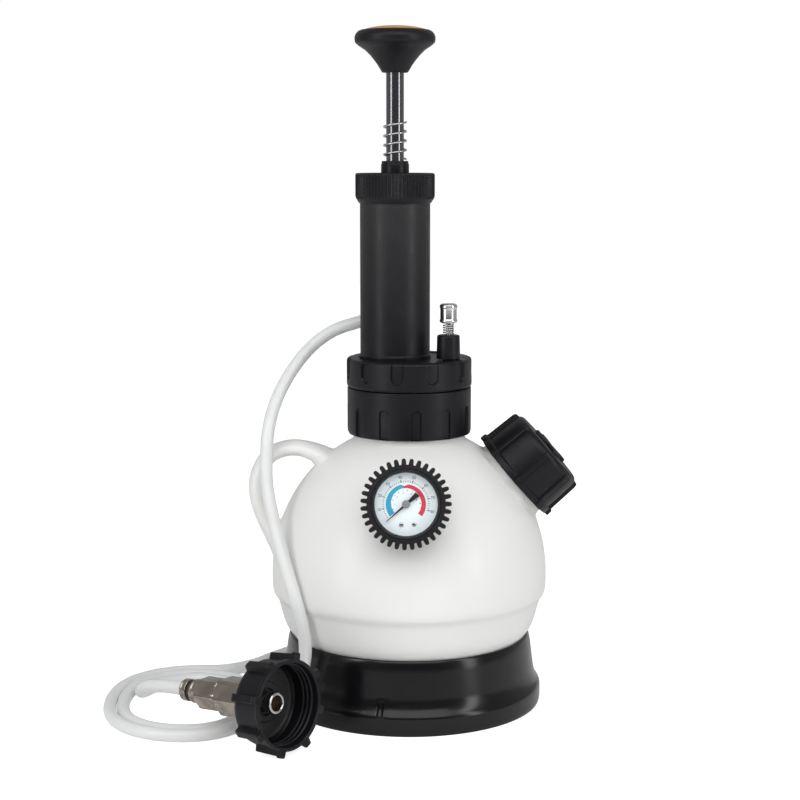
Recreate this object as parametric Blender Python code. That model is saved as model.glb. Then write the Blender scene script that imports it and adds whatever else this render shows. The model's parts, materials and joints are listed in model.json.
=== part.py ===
"""Hand pump on a three litre tank, with a gauge, a hose and a screw-cap adapter.

Metres, +Z up. The origin is the centre of the base's flat underside. The filler neck
points to +X, the carrying handle to -X and the gauge to -Y. Each object is one piece of
the real pump. Pieces that belong to one axis are children of an empty on that axis.
"""
import math

import bmesh
import bpy
from mathutils import Matrix, Vector

MM = 0.001
GAP = 0.3 * MM                  # clearance between neighbouring pieces
FULL_TURN = 2 * math.pi

# Base and tank
BASE_FOOT_R = 92 * MM
BASE_RIM_R = 83.2 * MM
BASE_H = 49 * MM
BASE_FLOOR = 3.2 * MM
BASE_INNER_R = 80.8 * MM
TANK_A = 95.4 * MM              # the dome is an ellipse: radius at its widest
TANK_B = 102.5 * MM             # and its half height
TANK_WIDEST_Z = 90 * MM
TANK_WALL = 2.2 * MM
NECK_R = 38 * MM
NECK_BORE_R = 34.5 * MM
NECK_TOP_Z = 209.5 * MM

# Pump head, on the tank's axis
COLLAR_R = 42.6 * MM
COLLAR_Z = (188.2 * MM, 220.4 * MM)
HEAD_R = 43 * MM
HEAD_Z = (220.8 * MM, 240.6 * MM)
HEAD_PLUG_R = 37.6 * MM
HEAD_PLUG_Z = 212 * MM
SLOT_DEPTH = 1.1 * MM

# Pump cylinder and plunger, on an axis to the left of the tank's axis
PUMP_X = -9.7 * MM
CYLINDER_R = 23.9 * MM
CYLINDER_BORE_R = 21.5 * MM
CYLINDER_Z = (234.6 * MM, 357 * MM)
SOCKET_R = CYLINDER_R + GAP
SOCKET_Z = 234.2 * MM
KNURL_R = 27 * MM
KNURL_Z = (345.7 * MM, 365.9 * MM)
GUIDE_TOP_Z = 374 * MM
ROD_R = 6 * MM
KNOB_Z = 432.8 * MM
PISTON_TOP_Z = 302 * MM

# Relief valve, on the head's right-hand side
RELIEF_XY = (26.5 * MM, -14 * MM)
RELIEF_BODY_TOP_Z = 257.2 * MM
BUTTON_Z = (265.2 * MM, 278.4 * MM)
BUTTON_R = 6 * MM

# Hose outlet, behind the cylinder
OUTLET_XY = (0.0, 29.5 * MM)
OUTLET_Z = 265 * MM
BARB_END_X = -14 * MM

# Gauge: centre of its front face, and its tilt above the horizontal
GAUGE_FACE = (-2.5 * MM, -108 * MM, 159 * MM)
GAUGE_TILT = math.radians(11)
GAUGE_TEETH = 35
BOOT_R = 25.2 * MM
BOOT_TOOTH = 4 * MM
BOOT_DEPTH = 25 * MM
DIAL_R = 20 * MM

# Filler neck and cap: the point where the cap's open end crosses its axis
FILLER_POINT = (72.5 * MM, 0.0, 156.8 * MM)
FILLER_TILT = math.atan2(0.755, 0.655)
FILLER_NECK_R = 28.6 * MM
FILLER_BORE_R = 25.8 * MM
FILLER_NECK_TOP = 26.5 * MM
FILLER_DEPTH = 32 * MM

# Screw caps: the filler cap and the hose's adapter share their shape
CAP_RIBS = 8
CAP_WALL = 2.4 * MM

# Hose, its coil and the adapter on its end
HOSE_R = 4.4 * MM
COIL_CENTRE = (-150 * MM, -31 * MM)
COIL_R = 58 * MM                # first turn's radius, at the back
COIL_PITCH = 9.2 * MM            # each turn lies this far inside the last
COIL_STRETCH = 16 * MM          # how much longer than wide the turns are, each way
COIL_SKEW = 4 * MM
COIL_SQUEEZE = 0.88             # the side beside the base is pressed in
COIL_START = math.radians(90)
COIL_TURNS = 2
ADAPTER_POINT = (-75.7 * MM, -128.8 * MM, 34 * MM)
ADAPTER_AXIS = Vector((0.773, -0.632, 0.087)).normalized()
ADAPTER_DEPTH = 25 * MM
COUPLER_LENGTH = 69 * MM

# Where the hose goes between the outlet and the coil: millimetres, centre line
HOSE_ROUTE = [
    (-14.4, 29.5, 265), (-17.4, 29.5, 265), (-25, 29.5, 264.3), (-35.2, 29.5, 261.8), (-53.4, 28, 255.6),
    (-69.4, 23, 244.1), (-82.8, 12, 227.5), (-91.8, -1, 210), (-96.3, -13, 192.3),
    (-97.4, -20, 174.8), (-97, -26, 159.3), (-94.7, -33, 146.7), (-89.2, -45, 127.4),
    (-83, -56.5, 108.7), (-75.6, -66.3, 86.9), (-71, -66, 67.8), (-69.4, -63.5, 51.4),
    (-72, -61.5, 35), (-79.5, -55.5, 18), (-90, -42, 7.4), (-94.8, -24, 4.6), (-97.6, 0, 4.6),
    (-94, 30, 4.6), (-79, 60, 4.6), (-54, 86, 4.6), (-22, 101, 4.6), (8, 108, 4.6),
    (29, 125, 4.6), (32, 150, 4.6), (15, 171, 4.6), (-12, 175, 4.6), (-38, 160, 4.6),
    (-64, 131, 4.6), (-84, 102, 4.6), (-103, 76, 4.6), (-114.5, 59, 4.6),
]
# From the coil's inner end up to the coupler, centre line
TAIL_ROUTE = [(-169, 18, 4.6), (-179.5, 6, 4.8), (-185, -9, 6), (-185.6, -23, 10), (-182, -36, 16),
              (-177, -45, 20.5)]


def mm(points):
    """Points given in millimetres, in metres."""
    return [tuple(value * MM for value in point) for point in points]


# ---------------------------------------------------------------- building blocks

def clear_scene():
    for old in list(bpy.data.objects):
        bpy.data.objects.remove(old, do_unlink=True)


def plastic(name, colour, roughness=0.45, metallic=0.0):
    """A material with one Principled BSDF."""
    made = bpy.data.materials.new(name)
    made.use_nodes = True
    shader = made.node_tree.nodes["Principled BSDF"]
    shader.inputs["Base Color"].default_value = (*colour, 1.0)
    shader.inputs["Roughness"].default_value = roughness
    shader.inputs["Metallic"].default_value = metallic
    made.diffuse_color = (*colour, 1.0)
    return made


def axis_empty(name, place, rotation=(0.0, 0.0, 0.0)):
    """An empty that carries the pieces of one axis."""
    empty = bpy.data.objects.new(name, None)
    empty.location = place
    empty.rotation_euler = rotation
    bpy.context.collection.objects.link(empty)
    return empty


def finish_object(name, shape, material, parent=None):
    """Turn a bmesh into an object whose flat and round faces meet at sharp edges."""
    bmesh.ops.recalc_face_normals(shape, faces=shape.faces)
    mesh = bpy.data.meshes.new(name)
    shape.to_mesh(mesh)
    shape.free()
    mesh.materials.append(material)
    mesh.shade_smooth()
    mesh.set_sharp_from_angle(angle=math.radians(35))
    piece = bpy.data.objects.new(name, mesh)
    piece.parent = parent
    bpy.context.collection.objects.link(piece)
    return piece


def add_turned(shape, outline, sides, swell=None, at=(0.0, 0.0)):
    """Turn a closed (radius, height) outline round Z. A third value in a point of the
    outline stands out by that much where swell(angle) is 1."""
    angles = [FULL_TURN * i / sides for i in range(sides)]
    rings = []
    for radius, height, *extra in outline:
        if radius == 0:
            rings.append([shape.verts.new((at[0], at[1], height))])
            continue
        rise = extra[0] if extra else 0.0
        ring = []
        for angle in angles:
            reach = radius + (rise * swell(angle) if rise else 0.0)
            place = (at[0] + reach * math.cos(angle), at[1] + reach * math.sin(angle), height)
            ring.append(shape.verts.new(place))
        rings.append(ring)
    for low, high in zip(rings, rings[1:] + rings[:1]):
        for i in range(sides):
            corners = (low[i % len(low)], low[(i + 1) % sides % len(low)],
                       high[(i + 1) % sides % len(high)], high[i % len(high)])
            corners = list(dict.fromkeys(corners))
            if len(corners) > 2:
                shape.faces.new(corners)


def turned(name, outline, material, parent=None, sides=32, swell=None, at=(0.0, 0.0)):
    shape = bmesh.new()
    add_turned(shape, outline, sides, swell, at)
    return finish_object(name, shape, material, parent)


def add_tube(shape, centres, half_sizes, sides, side_axis=None):
    """A capped tube through centres. half_sizes is its radius, or a pair: the half size
    across side_axis and the half size along it."""
    wide, deep = half_sizes if isinstance(half_sizes, tuple) else (half_sizes, half_sizes)
    centres = [Vector(c) for c in centres]
    across = Vector(side_axis) if side_axis else None
    rings = []
    for i, centre in enumerate(centres):
        ahead = (centres[min(i + 1, len(centres) - 1)] - centres[max(i - 1, 0)]).normalized()
        if across is None:
            across = ahead.orthogonal()
        across = (across - ahead * across.dot(ahead)).normalized()
        outward = ahead.cross(across)
        ring = []
        for k in range(sides):
            angle = FULL_TURN * k / sides
            place = centre + outward * wide * math.cos(angle) + across * deep * math.sin(angle)
            ring.append(shape.verts.new(place))
        rings.append(ring)
    for low, high in zip(rings, rings[1:]):
        for k in range(sides):
            shape.faces.new((low[k], low[(k + 1) % sides], high[(k + 1) % sides], high[k]))
    shape.faces.new(reversed(rings[0]))
    shape.faces.new(rings[-1])


def smooth_curve(points, spacing):
    """Catmull-Rom curve through points, read off at even spacing."""
    knots = [Vector(p) for p in points]
    knots = [2 * knots[0] - knots[1]] + knots + [2 * knots[-1] - knots[-2]]
    fine = []
    for p0, p1, p2, p3 in zip(knots, knots[1:], knots[2:], knots[3:]):
        for step in range(24):
            t = step / 24
            fine.append(0.5 * (2 * p1 + (p2 - p0) * t + (2 * p0 - 5 * p1 + 4 * p2 - p3) * t * t
                               + (3 * p1 - p0 - 3 * p2 + p3) * t ** 3))
    fine.append(knots[-2])
    length = sum((b - a).length for a, b in zip(fine, fine[1:]))
    count = max(2, round(length / spacing))
    even, walked, wanted = [fine[0]], 0.0, length / count
    for a, b in zip(fine, fine[1:]):
        piece = (b - a).length
        while walked + piece >= wanted and len(even) < count:
            even.append(a.lerp(b, (wanted - walked) / piece))
            wanted += length / count
        walked += piece
    even.append(fine[-1])
    return even


def hidden_tool(piece):
    """Mark a piece as a tool that shapes others and isn't part of the pump."""
    piece.hide_render = True
    piece.display_type = 'WIRE'
    return piece


def combine(piece, tool, operation):
    """Join a hidden tool to a piece, or cut it away."""
    step = piece.modifiers.new(tool.name, 'BOOLEAN')
    step.operation = operation
    step.object = hidden_tool(tool)
    step.solver = 'EXACT'


def hex_nut(name, across_flats, hole_r, low, high, material, parent):
    """A hexagon with a round hole. Every second point of its twelve is a corner."""
    flat = across_flats / 2
    corner = flat * (2 / math.sqrt(3) - 1)
    outline = [(hole_r, low), (flat, low, corner), (flat, high, corner), (hole_r, high)]
    turned(name, outline, material, parent, 12, lambda angle: round(angle * 6 / math.pi) % 2)


def place_on_axis(direction):
    """Rotation that turns +Z to a direction, with +X level."""
    level = Vector((0, 0, 1)).cross(direction).normalized()
    return Matrix((level, direction.cross(level), direction)).transposed().to_euler()


# ---------------------------------------------------------------- base and tank

def make_base(black):
    outline = [(0, 0), (BASE_FOOT_R - MM, 0), (BASE_FOOT_R, MM), (BASE_FOOT_R, 13.5 * MM),
               (BASE_FOOT_R - 3 * MM, 16.5 * MM), (BASE_RIM_R + MM, BASE_H - 2 * MM),
               (BASE_RIM_R, BASE_H), (BASE_INNER_R + MM, BASE_H),
               (BASE_INNER_R, BASE_H - 2 * MM), (BASE_INNER_R, 5 * MM),
               (BASE_INNER_R - 2 * MM, BASE_FLOOR), (0, BASE_FLOOR)]
    turned("base", outline, black, sides=40)


def dome_radius(height, wall):
    """Radius of the tank's dome at a height, outside (wall 0) or inside."""
    rise = (height - TANK_WIDEST_Z) / (TANK_B - wall)
    return (TANK_A - wall) * math.sqrt(1 - rise * rise)


def tank_side(wall):
    """The tank's side from the bottom to the neck, moved inwards by a wall."""
    lower = mm([(69, 4.2), (76.5, 7), (80.2, 14), (80.3, 48.2), (83, 51), (86.9, 56.4),
                (91.2, 72.4), (92.2, 75.4), (94.5, 77.6), (95.2, 81.5)])
    side = [(radius - wall, height + (wall if height < 10 * MM else 0)) for radius, height in lower]
    steps = 7
    top = 183 * MM
    for i in range(steps + 1):
        # steps get shorter towards the top, where the dome is flatter
        share = math.sin(math.pi / 2 * i / steps)
        height = TANK_WIDEST_Z + (top - TANK_WIDEST_Z) * share
        side.append((dome_radius(height, wall), height))
    return side


def handle_route():
    points = mm([(-50, 0, 164), (-64, 0, 173.5), (-79, 0, 177.5), (-93.5, 0, 174), (-102, 0, 165),
                 (-106, 0, 150.5), (-103.2, 0, 134.5), (-96.5, 0, 121), (-86, 0, 106)])
    return smooth_curve(points, 12 * MM)


def make_tank(white, filler_axis, gauge_axis):
    """A hollow tank: its outside, handle, filler neck and gauge boss, less its inside."""
    solid = [(0, 4.2 * MM)] + tank_side(0) + [(NECK_R, 185 * MM), (NECK_R, NECK_TOP_Z),
                                              (0, NECK_TOP_Z)]
    tank = turned("tank", solid, white, sides=40)
    shape = bmesh.new()
    add_tube(shape, handle_route(), (5.4 * MM, 11 * MM), 12, side_axis=(0, 1, 0))
    combine(tank, finish_object("handle_tool", shape, white), 'UNION')
    neck = [(0, -14 * MM), (FILLER_NECK_R, -14 * MM), (FILLER_NECK_R, FILLER_NECK_TOP),
            (0, FILLER_NECK_TOP)]
    combine(tank, turned("filler_neck_tool", neck, white, filler_axis, 32), 'UNION')
    boss_back = -BOOT_DEPTH - 14 * MM
    boss_front = -BOOT_DEPTH - GAP
    boss = [(0, boss_back), (13 * MM, boss_back), (13 * MM, boss_front), (0, boss_front)]
    combine(tank, turned("gauge_boss_tool", boss, white, gauge_axis, 20), 'UNION')

    hollow = [(0, 4.2 * MM + TANK_WALL)] + tank_side(TANK_WALL)
    hollow += [(NECK_BORE_R, 186 * MM), (NECK_BORE_R, NECK_TOP_Z + 5 * MM),
               (0, NECK_TOP_Z + 5 * MM)]
    inside = turned("inside_tool", hollow, white, sides=40)
    bore = [(0, -30 * MM), (FILLER_BORE_R, -30 * MM), (FILLER_BORE_R, 30 * MM), (0, 30 * MM)]
    combine(inside, turned("filler_bore_tool", bore, white, filler_axis, 32), 'UNION')
    stem = [(0, -60 * MM), (5.4 * MM, -60 * MM), (5.4 * MM, 0), (0, 0)]
    combine(inside, turned("stem_hole_tool", stem, white, gauge_axis, 16), 'UNION')
    combine(tank, inside, 'DIFFERENCE')


# ---------------------------------------------------------------- pump head

def add_slot(shape, angle, radius, width, low, high):
    """A radial block that cuts one grip slot in a round side."""
    outward = Vector((math.cos(angle), math.sin(angle), 0))
    along = Vector((-math.sin(angle), math.cos(angle), 0))
    block = bmesh.ops.create_cube(shape, size=1.0)["verts"]
    centre = outward * (radius + 4 * MM) + Vector((0, 0, (low + high) / 2))
    for vert in block:
        x, y, z = vert.co
        vert.co = centre + outward * x * 8 * MM + along * y * width + Vector((0, 0, z * (high - low)))


def slotted(piece, radius, count, first, width, low, high, material):
    shape = bmesh.new()
    for i in range(count):
        add_slot(shape, first + FULL_TURN * i / count, radius - SLOT_DEPTH, width, low, high)
    combine(piece, finish_object(piece.name + "_slots_tool", shape, material), 'DIFFERENCE')


def make_collar(black):
    low, high = COLLAR_Z
    inner = NECK_R + GAP
    outline = [(inner, low), (COLLAR_R - MM, low), (COLLAR_R, low + MM), (COLLAR_R, high - 0.6 * MM),
               (COLLAR_R - 0.6 * MM, high), (inner, high)]
    collar = turned("collar_nut", outline, black, sides=40)
    slotted(collar, COLLAR_R, 12, math.radians(-96), 6.4 * MM, low - MM, low + 20 * MM, black)


def make_head(black):
    low, high = HEAD_Z
    outline = [(0, HEAD_PLUG_Z), (HEAD_PLUG_R, HEAD_PLUG_Z), (HEAD_PLUG_R, low), (HEAD_R - 0.5 * MM, low),
               (HEAD_R, low + 0.5 * MM), (HEAD_R, high - 2 * MM), (HEAD_R - 2 * MM, high), (0, high)]
    head = turned("head_cap", outline, black, sides=40)
    slotted(head, HEAD_R, 11, math.radians(-102), 7.6 * MM, low + 6 * MM, high + MM, black)
    bores = bmesh.new()
    above = high + MM
    below = HEAD_PLUG_Z - MM
    # One stepped bore holds the cylinder's foot, the port and the foot valve
    add_turned(bores, [(0, below), (9.4 * MM, below), (9.4 * MM, 226 * MM), (3.5 * MM, 226 * MM),
                       (3.5 * MM, SOCKET_Z), (SOCKET_R, SOCKET_Z), (SOCKET_R, above), (0, above)],
               28, at=(PUMP_X, 0))
    for place in (RELIEF_XY, OUTLET_XY):
        add_turned(bores, [(0, below), (4 * MM, below), (4 * MM, above), (0, above)], 14, at=place)
    combine(head, finish_object("head_bores_tool", bores, black), 'DIFFERENCE')


def make_neck_gasket(rubber):
    low, high = NECK_TOP_Z + GAP, HEAD_PLUG_Z - GAP
    ring = [(NECK_BORE_R, low), (HEAD_PLUG_R, low), (HEAD_PLUG_R, high), (NECK_BORE_R, high)]
    turned("neck_gasket", ring, rubber, sides=32)


def make_foot_valve(rubber, black, pump_axis):
    """A rubber disc under the cylinder's port, held up by a cage below it."""
    disc_top = 226 * MM
    disc = [(0, disc_top - 1.6 * MM), (7.4 * MM, disc_top - 1.6 * MM), (7.4 * MM, disc_top - GAP),
            (0, disc_top - GAP)]
    turned("foot_valve_disc", disc, rubber, pump_axis, 24)
    low, high = 214 * MM, 222.4 * MM
    cage = [(3 * MM, low), (9.1 * MM, low), (9.1 * MM, high), (3 * MM, high)]
    turned("foot_valve_cage", cage, black, pump_axis, 24)


def make_cylinder(black, rubber, pump_axis):
    low, high = CYLINDER_Z
    tube = [(CYLINDER_BORE_R, low), (CYLINDER_R, low), (CYLINDER_R, high), (CYLINDER_BORE_R, high)]
    turned("pump_cylinder", tube, black, pump_axis, 32)
    low, high = KNURL_Z
    inner = CYLINDER_R + GAP
    roof = CYLINDER_Z[1] + GAP
    guide_hole = 9.8 * MM
    cap = [(inner, low), (CYLINDER_R + 0.5 * MM, low), (KNURL_R, low + 4 * MM), (KNURL_R, high - 1.5 * MM),
           (KNURL_R - 1.5 * MM, high), (guide_hole, high), (guide_hole, roof), (inner, roof)]
    turned("cylinder_cap", cap, black, pump_axis, 32)
    # The guide's flange is held under the cap, and its sleeve stops the piston
    flange_r, flange_top = CYLINDER_BORE_R - GAP, roof - GAP
    sleeve_r, sleeve_low = 9.5 * MM, PISTON_TOP_Z + GAP
    bore, seat_r, seat_top = ROD_R + GAP, 8 * MM, sleeve_low + 8 * MM
    guide = [(seat_r, sleeve_low), (sleeve_r, sleeve_low), (sleeve_r, flange_top - 4 * MM),
             (flange_r, flange_top - 4 * MM), (flange_r, flange_top), (sleeve_r, flange_top),
             (sleeve_r, GUIDE_TOP_Z - MM), (sleeve_r - MM, GUIDE_TOP_Z), (bore, GUIDE_TOP_Z),
             (bore, seat_top), (seat_r, seat_top)]
    turned("rod_guide", guide, black, pump_axis, 24)
    seal = [(bore, sleeve_low), (seat_r - GAP, sleeve_low), (seat_r - GAP, seat_top - GAP),
            (bore, seat_top - GAP)]
    turned("guide_seal", seal, rubber, pump_axis, 24)


def make_plunger(steel, black, rubber, orange, pump_axis):
    top = PISTON_TOP_Z
    rod_end = top - 16 * MM
    rod = [(0, rod_end), (ROD_R - MM, rod_end), (ROD_R - MM, top - GAP), (ROD_R, top - GAP),
           (ROD_R, KNOB_Z + 14 * MM), (0, KNOB_Z + 14 * MM)]
    turned("piston_rod", rod, steel, pump_axis, 24)
    bore = ROD_R - MM + GAP
    low = top - 5 * MM
    piston = [(bore, low), (21 * MM, low), (21 * MM, top - 2 * GAP), (bore, top - 2 * GAP)]
    turned("piston", piston, black, pump_axis, 28)
    cup_top = low - GAP
    cup = [(bore, cup_top - 2.4 * MM), (17 * MM, cup_top - 2.4 * MM), (19 * MM, cup_top - 6 * MM),
           (21.1 * MM, cup_top - 6 * MM), (21.1 * MM, cup_top), (bore, cup_top)]
    turned("piston_cup", cup, rubber, pump_axis, 28)
    nut_top = cup_top - 2.4 * MM - GAP
    hex_nut("piston_nut", 13 * MM, bore, rod_end + MM, nut_top, steel, pump_axis)

    knob = [(radius, KNOB_Z + rise) for radius, rise in mm([
        (9, 0), (9.8, 1.8), (11.7, 5.1), (14.1, 8.3), (16.8, 11.6), (20.3, 15), (24.6, 17.9),
        (27.2, 21.4), (27.2, 24.4), (25.2, 27.2), (22.9, 28.2), (22.6, 26.2), (0, 26.2)])]
    socket = ROD_R + GAP
    knob += [(0, KNOB_Z + 14 * MM + GAP), (socket, KNOB_Z + 14 * MM + GAP), (socket, KNOB_Z)]
    turned("knob", knob, black, pump_axis, 32)
    seat = KNOB_Z + 26.2 * MM + GAP
    insert = [(0, seat), (22.3 * MM, seat), (22.2 * MM, seat + 1.4 * MM), (15.6 * MM, seat + 3.5 * MM),
              (0, seat + 4.6 * MM)]
    turned("knob_insert", insert, orange, pump_axis, 32)


def coil_spring(name, low, high, radius, wire, turns, material, parent):
    """A wire spring that stands on a face, its ends inside its own height."""
    steps = turns * 11
    rise = high - low - 2 * wire
    centres = []
    for i in range(steps + 1):
        angle = FULL_TURN * turns * i / steps
        height = low + wire + rise * i / steps
        centres.append((radius * math.cos(angle), radius * math.sin(angle), height))
    shape = bmesh.new()
    add_tube(shape, centres, wire, 5)
    finish_object(name, shape, material, parent)


def make_relief_valve(black, chrome, steel, rubber, relief_axis):
    head_top = HEAD_Z[1]
    stem_r = 1.7 * MM
    bore = stem_r + GAP
    spigot_low = 231 * MM
    body = [(bore, spigot_low), (3.7 * MM, spigot_low), (3.7 * MM, head_top + GAP),
            (8.1 * MM, head_top + GAP), (7.8 * MM, RELIEF_BODY_TOP_Z - MM),
            (6.8 * MM, RELIEF_BODY_TOP_Z), (bore, RELIEF_BODY_TOP_Z)]
    turned("relief_valve_body", body, black, relief_axis, 20)
    low, high = BUTTON_Z
    stem_low = 226 * MM
    stem_top = low + 8 * MM
    stem = [(0, stem_low), (stem_r, stem_low), (stem_r, stem_top), (0, stem_top)]
    turned("relief_stem", stem, steel, relief_axis, 16)
    seal_top = spigot_low - GAP
    seal = [(bore, seal_top - 3 * MM), (3.6 * MM, seal_top - 3 * MM), (3.6 * MM, seal_top),
            (bore, seal_top)]
    turned("relief_seal", seal, rubber, relief_axis, 16)
    button = [(bore, low), (5.2 * MM, low), (BUTTON_R, low + 0.8 * MM), (BUTTON_R, high - 1.2 * MM),
              (5 * MM, high), (0, high), (0, stem_top + GAP), (bore, stem_top + GAP)]
    turned("relief_button", button, chrome, relief_axis, 20)
    coil_spring("relief_spring", RELIEF_BODY_TOP_Z + GAP, low - GAP, 3.4 * MM, 0.5 * MM, 4, steel,
                relief_axis)


def make_outlet(black, white):
    """The hose's elbow with its spigot, and the dip tube and strainer below the head."""
    x, y = OUTLET_XY
    stem_low, barb_x = 218 * MM, BARB_END_X
    outline = [(0, stem_low), (3.7 * MM, stem_low), (3.7 * MM, HEAD_Z[1] + GAP),
               (6.4 * MM, HEAD_Z[1] + GAP), (6.4 * MM, OUTLET_Z + 4 * MM),
               (4.6 * MM, OUTLET_Z + 6 * MM), (0, OUTLET_Z + 6 * MM)]
    elbow = turned("hose_elbow", outline, black, sides=24, at=OUTLET_XY)
    shape = bmesh.new()
    add_tube(shape, [(x, y, OUTLET_Z), (barb_x, y, OUTLET_Z)], 5.6 * MM, 20)
    combine(elbow, finish_object("barb_tool", shape, black), 'UNION')
    tube_top = stem_low - GAP
    tube_low = 14 * MM
    tube = [(2.4 * MM, tube_low), (3.5 * MM, tube_low), (3.5 * MM, tube_top), (2.4 * MM, tube_top)]
    turned("dip_tube", tube, white, sides=16, at=OUTLET_XY)
    strainer = [(0, 7 * MM), (5.5 * MM, 7 * MM), (5.5 * MM, 22 * MM), (3.8 * MM, 22 * MM),
                (3.8 * MM, 13.6 * MM), (0, 13.6 * MM)]
    turned("dip_strainer", strainer, black, sides=20, at=OUTLET_XY)


# ---------------------------------------------------------------- gauge

def tooth(count, share=0.5):
    """1 on the teeth of a ring and 0 between them."""
    return lambda angle: 1.0 if (angle * count / FULL_TURN + 0.25) % 1.0 < share else 0.0


def make_gauge(rubber, black, white, brass, steel, glass, gauge_axis):
    """Local Z points out of the dial, and Z = 0 is the rubber boot's front."""
    back = -BOOT_DEPTH
    boot = [(22.4 * MM, 0), (BOOT_R, 0), (BOOT_R, -1.5 * MM, BOOT_TOOTH), (BOOT_R, -14 * MM, BOOT_TOOTH),
            (BOOT_R - MM, back), (7 * MM, back), (7 * MM, back + 2 * MM), (22.4 * MM, back + 2 * MM)]
    turned("gauge_boot", boot, rubber, gauge_axis, GAUGE_TEETH * 2, tooth(GAUGE_TEETH))
    floor = back + 2 * MM + GAP
    case = [(22 * MM, -3 * MM), (22 * MM, floor), (6.6 * MM, floor), (6.6 * MM, floor + MM),
            (21 * MM, floor + MM), (21 * MM, -3 * MM)]
    turned("gauge_case", case, black, gauge_axis, 28)
    bezel = [(DIAL_R, -2.4 * MM), (22 * MM, -2.4 * MM), (22 * MM, -0.8 * MM), (21.4 * MM, -0.4 * MM),
             (20.6 * MM, -0.8 * MM)]
    turned("gauge_bezel", bezel, black, gauge_axis, 28)
    lens = [(0, -4.4 * MM), (20.7 * MM, -4.4 * MM), (20.7 * MM, -3 * MM), (0, -3 * MM)]
    turned("gauge_lens", lens, glass, gauge_axis, 28)
    dial = [(1.5 * MM, -8 * MM), (20.6 * MM, -8 * MM), (20.6 * MM, -7.2 * MM), (1.5 * MM, -7.2 * MM)]
    turned("gauge_dial", dial, white, gauge_axis, 28)
    screw = [(0, -6.9 * MM), (1.2 * MM, -6.9 * MM), (1.2 * MM, -6.3 * MM), (0, -6.3 * MM)]
    for name, place in zip(("dial_screw_left", "dial_screw_right"), mm([(-3, -13), (5, -12.7)])):
        turned(name, screw, steel, gauge_axis, 12, at=place)
    make_needle(black, gauge_axis)
    arbor = [(0, -15 * MM), (3 * MM, -15 * MM), (3 * MM, -13.5 * MM), (1.2 * MM, -13.5 * MM),
             (1.2 * MM, -6.8 * MM), (0, -6.8 * MM)]
    turned("gauge_arbor", arbor, brass, gauge_axis, 16)
    arc = [(15 * MM * math.cos(a), 15 * MM * math.sin(a), -15 * MM)
           for a in [math.radians(-85 + 15 * i) for i in range(19)]]
    shape = bmesh.new()
    add_tube(shape, arc, (1.4 * MM, 3 * MM), 8, side_axis=(0, 0, 1))
    finish_object("bourdon_tube", shape, brass, gauge_axis)
    stem_back = -54 * MM
    stem = [(0, stem_back), (5 * MM, stem_back), (5 * MM, back + 3 * MM), (6.2 * MM, back + 3 * MM),
            (6.2 * MM, back + 6 * MM), (0, back + 6 * MM)]
    turned("gauge_stem", stem, brass, gauge_axis, 24)
    hex_nut("gauge_nut", 17 * MM, 5 * MM + GAP, -48 * MM, -43 * MM, brass, gauge_axis)


def make_needle(black, gauge_axis):
    """A pointer at the bottom left of the dial, with a broad counterweight behind its hub."""
    shape = bmesh.new()
    add_turned(shape, [(0, -6.5 * MM), (2.6 * MM, -6.5 * MM), (2.6 * MM, -5.2 * MM), (0, -5.2 * MM)], 16)
    needle = finish_object("gauge_needle", shape, black, gauge_axis)
    shape = bmesh.new()
    outline = mm([(-10, -1.6), (-10, 1.6), (-2, 1), (2, 0.8), (17, 0.2), (17, -0.2), (2, -0.8), (-2, -1)])
    turn = Matrix.Rotation(math.radians(221), 3, 'Z')
    low = [shape.verts.new(turn @ Vector((x, y, -6.2 * MM))) for x, y in outline]
    high = [shape.verts.new(turn @ Vector((x, y, -5.5 * MM))) for x, y in outline]
    shape.faces.new(reversed(low))
    shape.faces.new(high)
    for i in range(len(outline)):
        j = (i + 1) % len(outline)
        shape.faces.new((low[i], low[j], high[j], high[i]))
    combine(needle, finish_object("pointer_tool", shape, black, gauge_axis), 'UNION')


# ---------------------------------------------------------------- screw caps

def rib(count, first, share=0.3):
    """A flat-topped rib repeated round a cap, 0 to 1. One rib is at the angle first."""
    def height(angle):
        phase = abs(((angle - first) * count / FULL_TURN + 0.5) % 1.0 - 0.5)
        return 1.0 if phase < share / 2 else 0.0
    return height


def make_cap(name, rim_r, rib_height, depth, draft, first_rib, material, parent, hole=0.0):
    """A cup with ribs. Local Z = 0 is its open end, and its closed end is at +depth."""
    back_r = rim_r - draft
    inner = rim_r - CAP_WALL
    floor = depth - CAP_WALL
    outline = [(inner, 0), (rim_r, 0, rib_height), (back_r, depth - 3 * MM, rib_height),
               (back_r - 3 * MM, depth, rib_height / 2), (hole, depth), (hole, floor),
               (inner - 1.6 * MM, floor), (inner, floor - 2 * MM)]
    return turned(name, outline, material, parent, CAP_RIBS * 6, rib(CAP_RIBS, first_rib))


def make_filler(black, rubber, filler_axis):
    cap = make_cap("filler_cap", 31.6 * MM, 3.2 * MM, FILLER_DEPTH, 1.2 * MM, math.radians(-3.75),
                   black, filler_axis)
    for name, angle in (("grip_bar_a_tool", 0), ("grip_bar_b_tool", 90)):
        shape = bmesh.new()
        size = Vector((30, 7, 5)) * MM
        turn = Matrix.Rotation(math.radians(angle + 20), 3, 'Z')
        for vert in bmesh.ops.create_cube(shape, size=1.0)["verts"]:
            vert.co = turn @ Vector([a * b for a, b in zip(vert.co, size)])
            vert.co.z += FILLER_DEPTH + 0.1 * MM
        combine(cap, finish_object(name, shape, black, filler_axis), 'UNION')
    low, high = FILLER_NECK_TOP + GAP, FILLER_DEPTH - CAP_WALL - GAP
    ring = [(FILLER_BORE_R, low), (27.3 * MM, low), (27.3 * MM, high), (FILLER_BORE_R, high)]
    turned("filler_gasket", ring, rubber, filler_axis, 28)


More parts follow.
